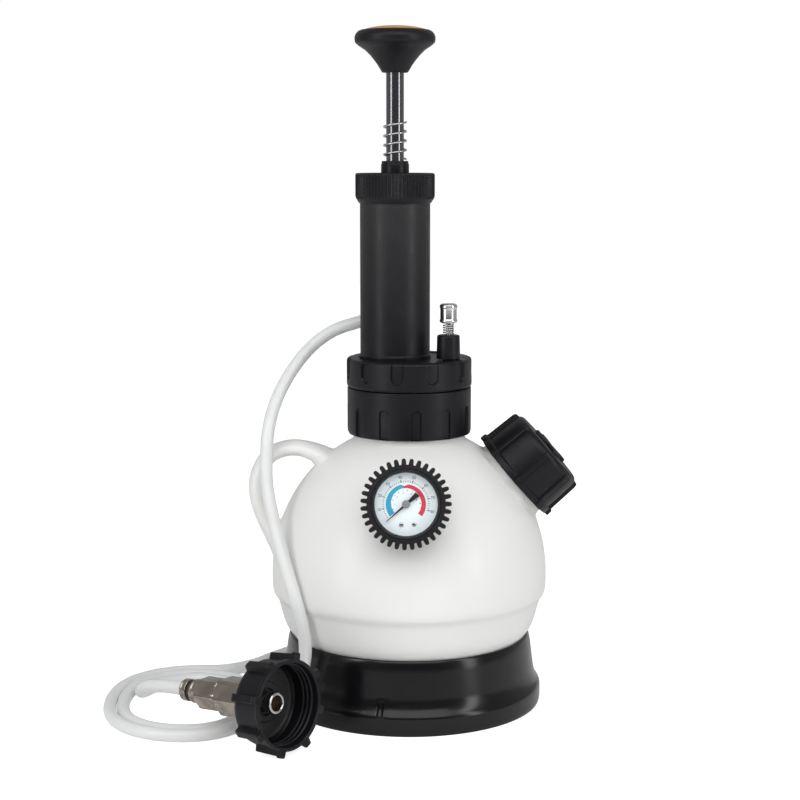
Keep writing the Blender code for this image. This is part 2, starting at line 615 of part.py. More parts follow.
def make_adapter(black, rubber, nickel, brass, adapter_axis):
    """Local Z = 0 is the cap's mouth and +Z runs back along the coupler to the hose."""
    thread_r = 6.5 * MM
    make_cap("adapter_cap", 28.9 * MM, 4.4 * MM, ADAPTER_DEPTH, 2.2 * MM, math.radians(18.75),
             black, adapter_axis, thread_r + GAP)
    floor = ADAPTER_DEPTH - CAP_WALL
    ring = [(9 * MM, floor - 2 * MM), (24.4 * MM, floor - 2 * MM), (24.4 * MM, floor - GAP),
            (9 * MM, floor - GAP)]
    turned("adapter_gasket", ring, rubber, adapter_axis, 28)
    front = 11 * MM
    back = ADAPTER_DEPTH
    # A hollow nipple runs through the cap, from its lip to the first hexagon
    lip = [(3.6 * MM, front), (5.8 * MM, front), (thread_r, front + MM), (thread_r, back + GAP),
           (3.6 * MM, back + GAP)]
    turned("adapter_nipple", lip, nickel, adapter_axis, 20)
    bore = 2.8 * MM
    start = back + 2 * GAP
    for name, flats, low, high in (("coupler_nipple", 23.4, 5.3, 32), ("coupler_union", 19.4, 32.3, 52.5)):
        hex_nut(name, flats * MM, bore, start + low * MM, start + high * MM, nickel, adapter_axis)
    for name, material, radius, low, high in (("coupler_washer", brass, 11.4, 0, 5),
                                              ("coupler_shank", nickel, 8.2, 52.8, 59.2),
                                              ("coupler_seal", rubber, 7.4, 59.5, 62.9),
                                              ("coupler_collar", nickel, 7.4, 63.2, 69)):
        low, high, radius = start + low * MM, start + high * MM, radius * MM
        bevel = 0.6 * MM
        ring = [(bore, low), (radius - bevel, low), (radius, low + bevel), (radius, high - bevel),
                (radius - bevel, high), (bore, high)]
        turned(name, ring, material, adapter_axis, 20)


# ---------------------------------------------------------------- hose

def coil_radius(angle):
    return COIL_R - COIL_PITCH * (angle - COIL_START) / FULL_TURN


def coil_point(angle, radius):
    """A place on the floor round the coil's centre: a circle drawn out along Y."""
    across = radius * math.cos(angle) * (COIL_SQUEEZE if math.cos(angle) > 0 else 1.0)
    along = radius * math.sin(angle) + COIL_STRETCH * math.tanh(2 * math.sin(angle)) / math.tanh(2)
    x = COIL_CENTRE[0] + across - COIL_SKEW * math.sin(angle)
    return x, COIL_CENTRE[1] + along


def make_coil(white):
    """The space that the coil's turns fill: a ring between its first and its last turn."""
    steps = 48
    sliver = math.radians(0.1)
    angles = [COIL_START + FULL_TURN * i / steps for i in range(steps)]
    angles.append(COIL_START + FULL_TURN - sliver)
    shape = bmesh.new()
    rings = []
    for angle in angles:
        outer = coil_radius(angle) + HOSE_R
        inner = coil_radius(angle + FULL_TURN * (COIL_TURNS - 1)) - HOSE_R
        ring = []
        for radius, height in ((outer, 0.2 * MM), (outer, 9 * MM), (inner, 9 * MM), (inner, 0.2 * MM)):
            ring.append(shape.verts.new((*coil_point(angle, radius), height)))
        rings.append(ring)
    for near, far in zip(rings, rings[1:] + rings[:1]):
        for k in range(4):
            shape.faces.new((near[k], near[(k + 1) % 4], far[(k + 1) % 4], far[k]))
    finish_object("hose_coil", shape, white)


def hose_tube(name, route, white):
    """A stretch of hose as a curve with a round bevel and filled caps. The route's first
    and last two points lie close together, which keeps its end faces square."""
    centres = [route[0]] + smooth_curve(route[1:-1], 21 * MM) + [route[-1]]
    curve = bpy.data.curves.new(name, 'CURVE')
    curve.dimensions = '3D'
    curve.bevel_depth = HOSE_R
    curve.bevel_resolution = 2
    curve.use_fill_caps = True
    spline = curve.splines.new('POLY')
    spline.points.add(len(centres) - 1)
    for point, centre in zip(spline.points, centres):
        point.co = (*centre, 1.0)
    curve.materials.append(white)
    piece = bpy.data.objects.new(name, curve)
    bpy.context.collection.objects.link(piece)


def make_hose(white):
    """The run from the outlet to the coil, the coil, and the tail up to the coupler."""
    x, y = coil_point(COIL_START, COIL_R)
    level = HOSE_R + 0.2 * MM
    short = 3 * MM
    run = mm(HOSE_ROUTE)
    run += [(x + 20 * MM, y + 2 * MM, level), (x + GAP + short, y, level), (x + GAP, y, level)]
    hose_tube("hose_run", run, white)
    make_coil(white)
    x, y = coil_point(COIL_START, coil_radius(COIL_START + FULL_TURN * COIL_TURNS))
    coupler_end = Vector(ADAPTER_POINT) - ADAPTER_AXIS * (ADAPTER_DEPTH + 2 * GAP + COUPLER_LENGTH)
    ends = [tuple(coupler_end - ADAPTER_AXIS * back) for back in (18 * MM, GAP + short, GAP)]
    tail = [(x - 2 * GAP, y, level), (x - 2 * GAP - short, y, level)] + mm(TAIL_ROUTE) + ends
    hose_tube("hose_tail", tail, white)


def main():
    clear_scene()
    black = plastic("black_plastic", (0.022, 0.022, 0.026), 0.42)
    white = plastic("tank_white", (0.80, 0.80, 0.79), 0.4)
    rubber = plastic("black_rubber", (0.018, 0.018, 0.019), 0.7)
    steel = plastic("dark_steel", (0.20, 0.20, 0.21), 0.22, 1.0)
    chrome = plastic("chrome", (0.75, 0.75, 0.77), 0.08, 1.0)
    nickel = plastic("warm_nickel", (0.62, 0.57, 0.50), 0.25, 1.0)
    brass = plastic("brass", (0.70, 0.50, 0.26), 0.3, 1.0)
    orange = plastic("orange_insert", (0.62, 0.28, 0.03), 0.35)
    glass = plastic("gauge_glass", (0.9, 0.93, 0.95), 0.05)

    pump_axis = axis_empty("pump_axis", (PUMP_X, 0, 0))
    relief_axis = axis_empty("relief_axis", (*RELIEF_XY, 0))
    filler_axis = axis_empty("filler_axis", FILLER_POINT, (0, FILLER_TILT, 0))
    gauge_axis = axis_empty("gauge_axis", GAUGE_FACE, (math.pi / 2 - GAUGE_TILT, 0, 0))
    adapter_axis = axis_empty("adapter_axis", ADAPTER_POINT, place_on_axis(-ADAPTER_AXIS))
    bpy.context.view_layer.update()

    make_base(black)
    make_tank(white, filler_axis, gauge_axis)
    make_collar(black)
    make_head(black)
    make_neck_gasket(rubber)
    make_foot_valve(rubber, black, pump_axis)
    make_cylinder(black, rubber, pump_axis)
    make_plunger(steel, black, rubber, orange, pump_axis)
    coil_spring("cushion_spring", GUIDE_TOP_Z + GAP, 400.7 * MM, 7.4 * MM, 0.7 * MM, 4, steel, pump_axis)
    make_relief_valve(black, chrome, steel, rubber, relief_axis)
    make_outlet(black, white)
    make_gauge(rubber, black, white, brass, steel, glass, gauge_axis)
    make_filler(black, rubber, filler_axis)
    make_adapter(black, rubber, nickel, brass, adapter_axis)
    make_hose(white)


main()
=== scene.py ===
"""Looks of a hand pump with a tank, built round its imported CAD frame.

Metres, in the frame's axes: +Z up, the gauge to -Y, the filler cap to +X, the handle to -X.
Round pieces are turned from outlines of (radius, height) points in millimetres. A third
number in a point is how far its corner is rounded off.
"""
import json
import math

import bmesh
import bpy
from mathutils import Matrix, Vector


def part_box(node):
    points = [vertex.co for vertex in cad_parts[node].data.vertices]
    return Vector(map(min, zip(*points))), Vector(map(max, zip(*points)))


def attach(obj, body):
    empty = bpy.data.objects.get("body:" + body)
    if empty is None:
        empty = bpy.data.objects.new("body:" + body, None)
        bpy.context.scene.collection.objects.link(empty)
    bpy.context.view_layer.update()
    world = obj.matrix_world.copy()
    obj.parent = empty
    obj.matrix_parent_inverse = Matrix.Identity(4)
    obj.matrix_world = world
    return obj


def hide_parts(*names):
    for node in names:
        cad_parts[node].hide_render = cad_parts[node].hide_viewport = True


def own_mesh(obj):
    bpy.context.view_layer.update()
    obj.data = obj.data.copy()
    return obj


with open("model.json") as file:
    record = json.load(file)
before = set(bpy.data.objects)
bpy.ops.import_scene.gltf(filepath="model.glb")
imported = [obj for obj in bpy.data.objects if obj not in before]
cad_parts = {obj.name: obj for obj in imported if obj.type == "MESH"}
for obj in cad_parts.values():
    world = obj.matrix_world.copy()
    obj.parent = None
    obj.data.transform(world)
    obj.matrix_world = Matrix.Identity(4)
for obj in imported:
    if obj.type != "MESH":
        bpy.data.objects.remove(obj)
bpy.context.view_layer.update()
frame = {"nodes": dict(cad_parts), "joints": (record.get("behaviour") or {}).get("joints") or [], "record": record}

MM = 0.001
FULL_TURN = 2 * math.pi
JOINTS = {joint["name"]: joint for joint in frame["joints"]}


def axis_frame(place, direction):
    """Matrix that puts +Z on a direction at a place, with +X level."""
    ahead = Vector(direction).normalized()
    level = Vector((0, 0, 1)).cross(ahead).normalized()
    turn = Matrix((level, ahead.cross(level), ahead)).transposed().to_4x4()
    return Matrix.Translation(place) @ turn


def middle(node):
    """Centre of a CAD node's box."""
    low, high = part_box(node)
    return (low + high) / 2


def upright(node):
    """Matrix of the vertical axis through a CAD node's centre."""
    centre = middle(node)
    return Matrix.Translation((centre.x, centre.y, 0))


WORLD = Matrix.Identity(4)
PUMP = Matrix.Translation((JOINTS["plunger_turn"]["pos_m"][0], 0, 0))
RELIEF = upright("relief_button")
GAUGE = axis_frame(JOINTS["needle_turn"]["pos_m"], JOINTS["needle_turn"]["axis"])
FILLER = axis_frame(JOINTS["filler_cap_turn"]["pos_m"], JOINTS["filler_cap_turn"]["axis"])
ADAPTER_AXIS = Vector((0.773, -0.632, 0.087)).normalized()
ADAPTER_POINT = Vector((-75.7, -128.8, 34)) * MM
ADAPTER = axis_frame(ADAPTER_POINT, -ADAPTER_AXIS)


# ---------------------------------------------------------------- camera and light

CAMERA_PLACE = (-0.00635, -1.1957, 0.3786)
CAMERA_LENS = 78.75             # millimetres
CAMERA_TILT = math.radians(82)  # from looking straight down
BACKDROP_FRONT = 0.1            # strength of the backdrop's light from behind the viewer
BACKDROP_BACK = 0.38            # and from behind the object
FLOOR_SEEN = 0.8                # the floor's own glow as it is seen, which hides its far edge
FLOOR_GLOW = 0.1                # and as a light


def make_camera():
    data = bpy.data.cameras.new("camera")
    data.lens = CAMERA_LENS
    camera = bpy.data.objects.new("camera", data)
    camera.location = CAMERA_PLACE
    camera.rotation_euler = (CAMERA_TILT, 0, 0)
    bpy.context.scene.collection.objects.link(camera)
    bpy.context.scene.camera = camera


def soft_light(name, place, target, width, height, power):
    data = bpy.data.lights.new(name, 'AREA')
    data.shape = 'RECTANGLE'
    data.size, data.size_y = width, height
    data.energy = power
    lamp = bpy.data.objects.new(name, data)
    lamp.location = place
    lamp.rotation_euler = (Vector(target) - Vector(place)).to_track_quat('-Z', 'Y').to_euler()
    bpy.context.scene.collection.objects.link(lamp)


def make_backdrop():
    """A world that looks pure white. As a light it is soft, and dim on the viewer's side."""
    world = bpy.data.worlds.new("studio")
    world.use_nodes = True
    backdrop = world.node_tree.nodes["Background"]
    backdrop.inputs["Color"].default_value = (1, 1, 1, 1)
    add, join = world.node_tree.nodes.new, world.node_tree.links.new
    side = add("ShaderNodeSeparateXYZ")
    join(add("ShaderNodeTexCoord").outputs["Generated"], side.inputs["Vector"])
    dim = add("ShaderNodeMapRange")
    dim.inputs["From Min"].default_value = -0.9
    dim.inputs["From Max"].default_value = 0.3
    dim.inputs["To Min"].default_value = BACKDROP_FRONT
    dim.inputs["To Max"].default_value = BACKDROP_BACK
    join(side.outputs["Y"], dim.inputs["Value"])
    level = add("ShaderNodeMapRange")
    level.inputs["To Max"].default_value = 1.0
    join(add("ShaderNodeLightPath").outputs["Is Camera Ray"], level.inputs["Value"])
    join(dim.outputs["Result"], level.inputs["To Min"])
    join(level.outputs["Result"], backdrop.inputs["Strength"])
    bpy.context.scene.world = world
    bpy.context.scene.view_settings.view_transform = 'Standard'


def make_lights():
    centre = (0, 0, 0.2)
    soft_light("key_left", (-1.25, -1.0, 0.7), centre, 0.3, 1.5, 8)
    soft_light("key_right", (1.35, -0.9, 0.7), centre, 0.3, 1.5, 8)
    soft_light("front_top", (0.05, -1.45, 1.6), centre, 2.4, 1.6, 25)


def make_floor():
    bpy.ops.mesh.primitive_plane_add(size=8, location=(0, 0, 0))
    floor = bpy.context.object
    floor.name = "floor"
    paint = bpy.data.materials.new("floor_white")
    paint.use_nodes = True
    shader = paint.node_tree.nodes["Principled BSDF"]
    shader.inputs["Base Color"].default_value = (0.85, 0.85, 0.85, 1)
    shader.inputs["Emission Color"].default_value = (1, 1, 1, 1)
    glow = paint.node_tree.nodes.new("ShaderNodeMapRange")
    glow.inputs["To Min"].default_value = FLOOR_GLOW
    glow.inputs["To Max"].default_value = FLOOR_SEEN
    seen = paint.node_tree.nodes.new("ShaderNodeLightPath")
    paint.node_tree.links.new(seen.outputs["Is Camera Ray"], glow.inputs["Value"])
    paint.node_tree.links.new(glow.outputs["Result"], shader.inputs["Emission Strength"])
    shader.inputs["Roughness"].default_value = 0.9
    shader.inputs["Specular IOR Level"].default_value = 0.1
    floor.data.materials.append(paint)


# ---------------------------------------------------------------- materials

def surface(name, colour, roughness, grain=0.1, grain_size=0.6, mottle=0.08, mottle_size=30,
            edge_highlight=0.0, streaks=None, **sockets):
    """A Principled material with a fine grain, a slow change of tone, smudges in its gloss
    and a painted highlight on its edges. Sizes are in millimetres, colours linear."""
    made = bpy.data.materials.new(name)
    made.use_nodes = True
    tree = made.node_tree
    shader = tree.nodes["Principled BSDF"]
    for socket, value in sockets.items():
        shader.inputs[socket.replace("_", " ")].default_value = value
    add, join = tree.nodes.new, tree.links.new
    place = add("ShaderNodeTexCoord").outputs["Object"]
    if streaks:
        stretch = add("ShaderNodeMapping")
        stretch.inputs["Scale"].default_value = streaks
        join(place, stretch.inputs["Vector"])
        place = stretch.outputs["Vector"]

    def noise(size, detail):
        made_noise = add("ShaderNodeTexNoise")
        made_noise.inputs["Scale"].default_value = 1 / (size * MM)
        made_noise.inputs["Detail"].default_value = detail
        join(place, made_noise.inputs["Vector"])
        return made_noise.outputs["Fac"]

    tone = add("ShaderNodeValToRGB")
    tone.color_ramp.elements[0].position = 0.3
    tone.color_ramp.elements[1].position = 0.7
    tone.color_ramp.elements[0].color = (*[c * (1 - mottle) for c in colour], 1)
    tone.color_ramp.elements[1].color = (*[min(1, c * (1 + mottle)) for c in colour], 1)
    join(noise(mottle_size, 3), tone.inputs["Fac"])
    colour_out = tone.outputs["Color"]
    # Sharp edges are painted lighter: a painted highlight that stands in for light caught on the edges
    if edge_highlight:
        edge = add("ShaderNodeMapRange")
        edge.inputs["From Min"].default_value = 0.53
        edge.inputs["From Max"].default_value = 0.62
        edge.inputs["To Max"].default_value = edge_highlight
        join(add("ShaderNodeNewGeometry").outputs["Pointiness"], edge.inputs["Value"])
        highlight_mix = add("ShaderNodeMix")
        highlight_mix.data_type = 'RGBA'
        highlight_sockets = [s for s in highlight_mix.inputs if s.name in ("A", "B") and s.type == 'RGBA']
        highlight_sockets[1].default_value = (*[c * 0.6 + 0.16 for c in colour], 1)
        join(edge.outputs["Result"], highlight_mix.inputs["Factor"])
        join(colour_out, highlight_sockets[0])
        colour_out = [s for s in highlight_mix.outputs if s.type == 'RGBA'][0]
    join(colour_out, shader.inputs["Base Color"])
    smudge = add("ShaderNodeMapRange")
    smudge.inputs["From Min"].default_value = 0.3
    smudge.inputs["From Max"].default_value = 0.7
    smudge.inputs["To Min"].default_value = roughness * 0.85
    smudge.inputs["To Max"].default_value = min(1.0, roughness * 1.2)
    join(noise(12, 4), smudge.inputs["Value"])
    join(smudge.outputs["Result"], shader.inputs["Roughness"])
    bump = add("ShaderNodeBump")
    bump.inputs["Strength"].default_value = grain
    bump.inputs["Distance"].default_value = 0.2 * MM
    join(noise(grain_size, 2), bump.inputs["Height"])
    join(bump.outputs["Normal"], shader.inputs["Normal"])
    return made


# In the next three materials the lighter edges are a painted highlight
BLACK = surface("satin_black", (0.0065, 0.0065, 0.0085), 0.38, grain=0.2, edge_highlight=0.2, mottle=0.2,
                Specular_IOR_Level=0.24)
GLOSS_BLACK = surface("gloss_black", (0.0045, 0.0045, 0.0055), 0.22, grain=0.06, grain_size=2,
                      edge_highlight=0.2, Specular_IOR_Level=0.3, Coat_Weight=0.1, Coat_Roughness=0.15)
PLAIN_BLACK = surface("needle_black", (0.004, 0.004, 0.005), 0.5, grain=0.03,
                      Specular_IOR_Level=0.2)
RUBBER = surface("boot_rubber", (0.007, 0.007, 0.0085), 0.5, grain=0.3, edge_highlight=0.3, mottle=0.25,
                 Specular_IOR_Level=0.28)
SEAL = surface("seal_rubber", (0.012, 0.012, 0.012), 0.55, grain=0.2)
TANK = surface("tank_white", (0.84, 0.84, 0.825), 0.36, grain=0.12, grain_size=3, mottle=0.015,
               mottle_size=60, Subsurface_Weight=0.5, Subsurface_Radius=(1, 1, 1),
               Subsurface_Scale=0.006)
# The hose's slight emission is a painted glow: it stands in for light shining through the translucent hose
HOSE = surface("hose_white", (0.73, 0.74, 0.74), 0.34, grain=0.06, grain_size=4, mottle=0.02,
               Subsurface_Weight=0.6, Subsurface_Radius=(1, 1, 1), Subsurface_Scale=0.006,
               Emission_Color=(1, 1, 0.99, 1), Emission_Strength=0.04, Coat_Weight=0.15,
               Coat_Roughness=0.2)
WHITE = surface("white_plastic", (0.75, 0.75, 0.74), 0.4)
ORANGE = surface("knob_orange", (0.60, 0.27, 0.03), 0.33, grain=0.3, grain_size=0.8, mottle=0.06,
                 Coat_Weight=0.2)
ROD = surface("dark_rod", (0.2, 0.2, 0.215), 0.19, grain=0.01, mottle=0.03,
              streaks=(1, 1, 0.02), Metallic=1.0)
SPRING = surface("spring_wire", (0.52, 0.52, 0.53), 0.22, grain=0.1, Metallic=1.0)
CHROME = surface("chrome", (0.72, 0.72, 0.74), 0.14, grain=0.03, mottle=0.03, Metallic=1.0)
NICKEL = surface("warm_nickel", (0.40, 0.355, 0.30), 0.2, grain=0.06, grain_size=1.2, mottle=0.1,
                 mottle_size=6, Metallic=1.0)
SATIN_GREY = surface("satin_grey", (0.26, 0.26, 0.27), 0.45, grain=0.02, mottle=0.03)
BRASS = surface("brass", (0.66, 0.46, 0.22), 0.26, grain=0.15, mottle=0.1, mottle_size=8,
                Metallic=1.0)
# The dial's emission is a painted glow that evens out the shade falling on the dial inside the bezel
DIAL = surface("dial_white", (0.84, 0.92, 0.95), 0.5, grain=0.03, mottle=0.015,
               Emission_Color=(0.84, 0.93, 0.96, 1), Emission_Strength=0.14)
DIAL_BLUE = surface("dial_blue", (0.02, 0.42, 0.66), 0.45, grain=0.03, mottle=0.03)
DIAL_RED = surface("dial_red", (0.78, 0.03, 0.07), 0.45, grain=0.03, mottle=0.03)
DIAL_GREY = surface("dial_grey", (0.05, 0.06, 0.10), 0.5, grain=0.03)
LENS = surface("gauge_lens", (0.3, 0.32, 0.35), 0.03, grain=0.01, mottle=0.01, Alpha=0.04)


# ---------------------------------------------------------------- mesh tools

def softened(points):
    """Outline points in metres, with an arc of small steps at each corner that asks for one."""
    made = []
    count = len(points)
    for i, (radius, height, *reach) in enumerate(points):
        here = Vector((radius, height)) * MM
        if not reach:
            made.append(here)
            continue
        before = Vector(points[i - 1][:2]) * MM
        after = Vector(points[(i + 1) % count][:2]) * MM
        back, ahead = before - here, after - here
        start = here + back.normalized() * min(reach[0] * MM, back.length * 0.48)
        end = here + ahead.normalized() * min(reach[0] * MM, ahead.length * 0.48)
        for step in range(6):
            t = step / 5
            made.append(start * (1 - t) ** 2 + here * 2 * t * (1 - t) + end * t * t)
    return made


def subdivided(outline, step, low, high):
    """Outline with extra points along its outer side between two heights."""
    made = []
    reach = max(point.x for point in outline)
    for a, b in zip(outline, outline[1:] + outline[:1]):
        made.append(a)
        outside = min(a.x, b.x) > reach * 0.88 and max(a.y, b.y) > low and min(a.y, b.y) < high
        if outside and (b - a).length > step:
            parts = math.ceil((b - a).length / step)
            made.extend(a.lerp(b, k / parts) for k in range(1, parts))
    return made


def add_turned(shape, outline, sides, push=None, first=0.0):
    """Turn an outline round Z. push(angle, radius, height) moves a point outwards."""
    rings = []
    for point in outline:
        if point.x < 1e-7:
            rings.append([shape.verts.new((0, 0, point.y))])
            continue
        ring = []
        for k in range(sides):
            angle = first + FULL_TURN * k / sides
            reach = point.x + (push(angle, point.x, point.y) if push else 0.0)
            place = (reach * math.cos(angle), reach * math.sin(angle), point.y)
            ring.append(shape.verts.new(place))
        rings.append(ring)
    for low, high in zip(rings, rings[1:] + rings[:1]):
        if len(low) == 1 and len(high) == 1:
            continue
        for k in range(sides):
            corners = (low[k % len(low)], low[(k + 1) % sides % len(low)],
                       high[(k + 1) % sides % len(high)], high[k % len(high)])
            corners = list(dict.fromkeys(corners))
            if len(corners) > 2:
                shape.faces.new(corners)


def add_tube(shape, centres, size, sides, side_axis=None):
    """A capped tube through centres. size(i) is its half width and half depth at centre i."""
    across = Vector(side_axis) if side_axis else None
    rings = []
    for i, centre in enumerate(centres):
        ahead = (centres[min(i + 1, len(centres) - 1)] - centres[max(i - 1, 0)]).normalized()
        if across is None:
            across = ahead.orthogonal()
        across = (across - ahead * across.dot(ahead)).normalized()
        outward = ahead.cross(across)
        wide, deep = size(i)
        rings.append([shape.verts.new(centre + outward * wide * math.cos(FULL_TURN * k / sides)
                                      + across * deep * math.sin(FULL_TURN * k / sides))
                      for k in range(sides)])
    for low, high in zip(rings, rings[1:]):
        for k in range(sides):
            shape.faces.new((low[k], low[(k + 1) % sides], high[(k + 1) % sides], high[k]))
    shape.faces.new(reversed(rings[0]))
    shape.faces.new(rings[-1])


def add_block(shape, size, matrix, bevel):
    """A box of a size in metres, its edges bevelled, placed by a matrix."""
    block = bmesh.new()
    bmesh.ops.create_cube(block, size=1.0)
    bmesh.ops.scale(block, vec=size, verts=block.verts)
    bmesh.ops.bevel(block, geom=block.edges, offset=bevel, segments=3, profile=0.5, affect='EDGES')
    bmesh.ops.transform(block, matrix=matrix, verts=block.verts)
    merge(shape, block)


def merge(shape, other):
    """Add another mesh's faces to a shape."""
    data = bpy.data.meshes.new("part")
    other.to_mesh(data)
    other.free()
    shape.from_mesh(data)
    bpy.data.meshes.remove(data)


def put(name, shape, material, body, nodes=(), matrix=WORLD, sharp=38):
    """Make a piece from a shape: placed, smooth between sharp edges, riding on its body."""
    bmesh.ops.recalc_face_normals(shape, faces=shape.faces)
    mesh = bpy.data.meshes.new(name)
    shape.to_mesh(mesh)
    shape.free()
    mesh.transform(matrix)
    mesh.materials.append(material)
    mesh.shade_smooth()
    mesh.set_sharp_from_angle(angle=math.radians(sharp))
    piece = bpy.data.objects.new(name, mesh)
    bpy.context.scene.collection.objects.link(piece)
    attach(piece, body)
    if nodes:
        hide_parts(*nodes)
    return piece


def turned(name, points, material, body, nodes=(), matrix=WORLD, sides=128, push=None,
           fine=None, first=0.0):
    """A turned piece. fine = (step, low, high) in millimetres refines its outer side."""
    outline = softened(points)
    if fine:
        outline = subdivided(outline, *[value * MM for value in fine])
    shape = bmesh.new()
    add_turned(shape, outline, sides, push, first)
    return put(name, shape, material, body, nodes, matrix)


def smooth_step(value):
    t = max(0.0, min(1.0, value))
    return t * t * (3 - 2 * t)


def curve_through(points, spacing):
    """Catmull-Rom curve through points, read off at even spacing."""
    knots = [Vector(p) for p in points]
    knots = [2 * knots[0] - knots[1]] + knots + [2 * knots[-1] - knots[-2]]
    fine = []
    for p0, p1, p2, p3 in zip(knots, knots[1:], knots[2:], knots[3:]):
        for step in range(24):
            t = step / 24
            fine.append(0.5 * (2 * p1 + (p2 - p0) * t + (2 * p0 - 5 * p1 + 4 * p2 - p3) * t * t
                               + (3 * p1 - p0 - 3 * p2 + p3) * t ** 3))
    fine.append(knots[-2])
    length = sum((b - a).length for a, b in zip(fine, fine[1:]))
    count = max(2, round(length / spacing))
    even, walked, wanted = [fine[0]], 0.0, length / count
    for a, b in zip(fine, fine[1:]):
        piece = (b - a).length
        while walked + piece >= wanted and len(even) < count:
            even.append(a.lerp(b, (wanted - walked) / piece))
            wanted += length / count
        walked += piece
    even.append(fine[-1])
    return even


def slot_shape(across, along, width):
    """1 inside a slot with a round end at along = 0 that runs to +along, 0 outside it."""
    end = width / 2
    side = abs(across) if along > end else math.hypot(across, along - end)
    return smooth_step((end - side) / (0.45 * MM) + 0.5)


def offset_in_turn(angle, first, count):
    """Angle from the nearest of count places round a circle."""
    pitch = FULL_TURN / count
    return (angle - first + pitch / 2) % pitch - pitch / 2


# ---------------------------------------------------------------- hose

HOSE_R = 4.4 * MM
COIL_CENTRE = (-150 * MM, -31 * MM)
COIL_R = 58 * MM
COIL_PITCH = 9.2 * MM
COIL_STRETCH = 16 * MM
COIL_SKEW = 4 * MM
COIL_SQUEEZE = 0.88
COIL_START = math.radians(90)
COIL_TURNS = 2
COUPLER_START = 25.6            # along the adapter's axis from its mouth, just past its outer face
COUPLER_LENGTH = 69             # these two, and the routes' points, are in millimetres
HOSE_ROUTE = [
    (-14.4, 29.5, 265), (-17.4, 29.5, 265), (-25, 29.5, 264.3), (-35.2, 29.5, 261.8),
    (-53.4, 28, 255.6), (-69.4, 23, 244.1), (-82.8, 12, 227.5), (-91.8, -1, 210),
    (-96.3, -13, 192.3), (-97.4, -20, 174.8), (-97, -26, 159.3), (-94.7, -33, 146.7),
    (-89.2, -45, 127.4), (-83, -56.5, 108.7), (-75.6, -66.3, 86.9), (-71, -66, 67.8),
    (-69.4, -63.5, 51.4), (-72, -61.5, 35), (-79.5, -55.5, 18), (-90, -42, 7.4),
    (-94.8, -24, 4.6), (-97.6, 0, 4.6), (-94, 30, 4.6), (-79, 60, 4.6), (-54, 86, 4.6),
    (-22, 101, 4.6), (8, 108, 4.6), (29, 125, 4.6), (32, 150, 4.6), (15, 171, 4.6),
    (-12, 175, 4.6), (-38, 160, 4.6), (-64, 131, 4.6), (-84, 102, 4.6), (-103, 76, 4.6),
    (-114.5, 59, 4.6),
]
TAIL_ROUTE = [
    (-169, 18, 4.6), (-179.5, 6, 4.8), (-185, -9, 6), (-185.6, -23, 10), (-182, -36, 16),
    (-177, -45, 20.5),
]


def coil_point(angle):
    """A place on the hose's coil: turns drawn out along Y, each inside the last."""
    radius = COIL_R - COIL_PITCH * (angle - COIL_START) / FULL_TURN
    across = radius * math.cos(angle) * (COIL_SQUEEZE if math.cos(angle) > 0 else 1.0)
    along = radius * math.sin(angle) + COIL_STRETCH * math.tanh(2 * math.sin(angle)) / math.tanh(2)
    return Vector((COIL_CENTRE[0] + across - COIL_SKEW * math.sin(angle), COIL_CENTRE[1] + along,
                   HOSE_R + 0.2 * MM))


def make_hose():
    """One length of hose: from the outlet to the coil, round the coil and to the coupler."""
    route = [Vector(p) * MM for p in HOSE_ROUTE]
    lead_in = Vector((20, 2, 0)) * MM
    route.append(coil_point(COIL_START) + lead_in)
    per_turn = 28
    for i in range(COIL_TURNS * per_turn + 1):
        route.append(coil_point(COIL_START + FULL_TURN * i / per_turn))
    route += [Vector(p) * MM for p in TAIL_ROUTE]
    # The hose ends in line with the coupler
    for gap in (18, 3.3, 0.3):
        from_mouth = COUPLER_START + COUPLER_LENGTH + gap
        route.append(ADAPTER_POINT - ADAPTER_AXIS * from_mouth * MM)
    centres = curve_through(route, 5 * MM)
    length = sum((b - a).length for a, b in zip(centres, centres[1:]))
    data = bpy.data.curves.new("hose", 'CURVE')
    data.dimensions = '3D'
    data.bevel_depth = HOSE_R
    data.bevel_resolution = 6
    data.use_fill_caps = True
    spline = data.splines.new('POLY')
    spline.points.add(len(centres) - 1)
    for point, centre in zip(spline.points, centres):
        point.co = (*centre, 1.0)
    spline.use_smooth = True
    data.materials.append(HOSE)
    hose = bpy.data.objects.new("hose", data)
    bpy.context.scene.collection.objects.link(hose)
    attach(hose, "tank_unit")
    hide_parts("hose_run", "hose_coil", "hose_tail")
    return hose, length


# ---------------------------------------------------------------- base and tank

def make_base():
    """Glossy base that narrows above its foot, with a close pair of short ribs in front."""
    rib_angles = (math.radians(-103), math.radians(-101))
    low, high = 12.7, 23.1

    def rib(angle, radius, height):
        if radius < 84 * MM or not low * MM < height < high * MM:
            return 0.0
        near = min(abs(angle - FULL_TURN - a) for a in rib_angles) * radius
        return 0.7 * MM * smooth_step(1.6 - near / (0.6 * MM))

    points = [(0, 0), (91.2, 0, 1.2), (91.9, 3, 1), (91.9, 13, 2), (89.2, 16.6, 2.4), (87.4, 22, 3),
              (84.6, 44, 3), (83.2, 48.9, 1.6), (81.6, 49, 1), (80.8, 46, 1), (80.8, 5, 2),
              (78, 3.2, 2), (0, 3.2)]
    turned("base_shell", points, GLOSS_BLACK, "tank_unit", ["base"], sides=360,
           push=rib, fine=(1.2, low - 0.7, high + 0.9))


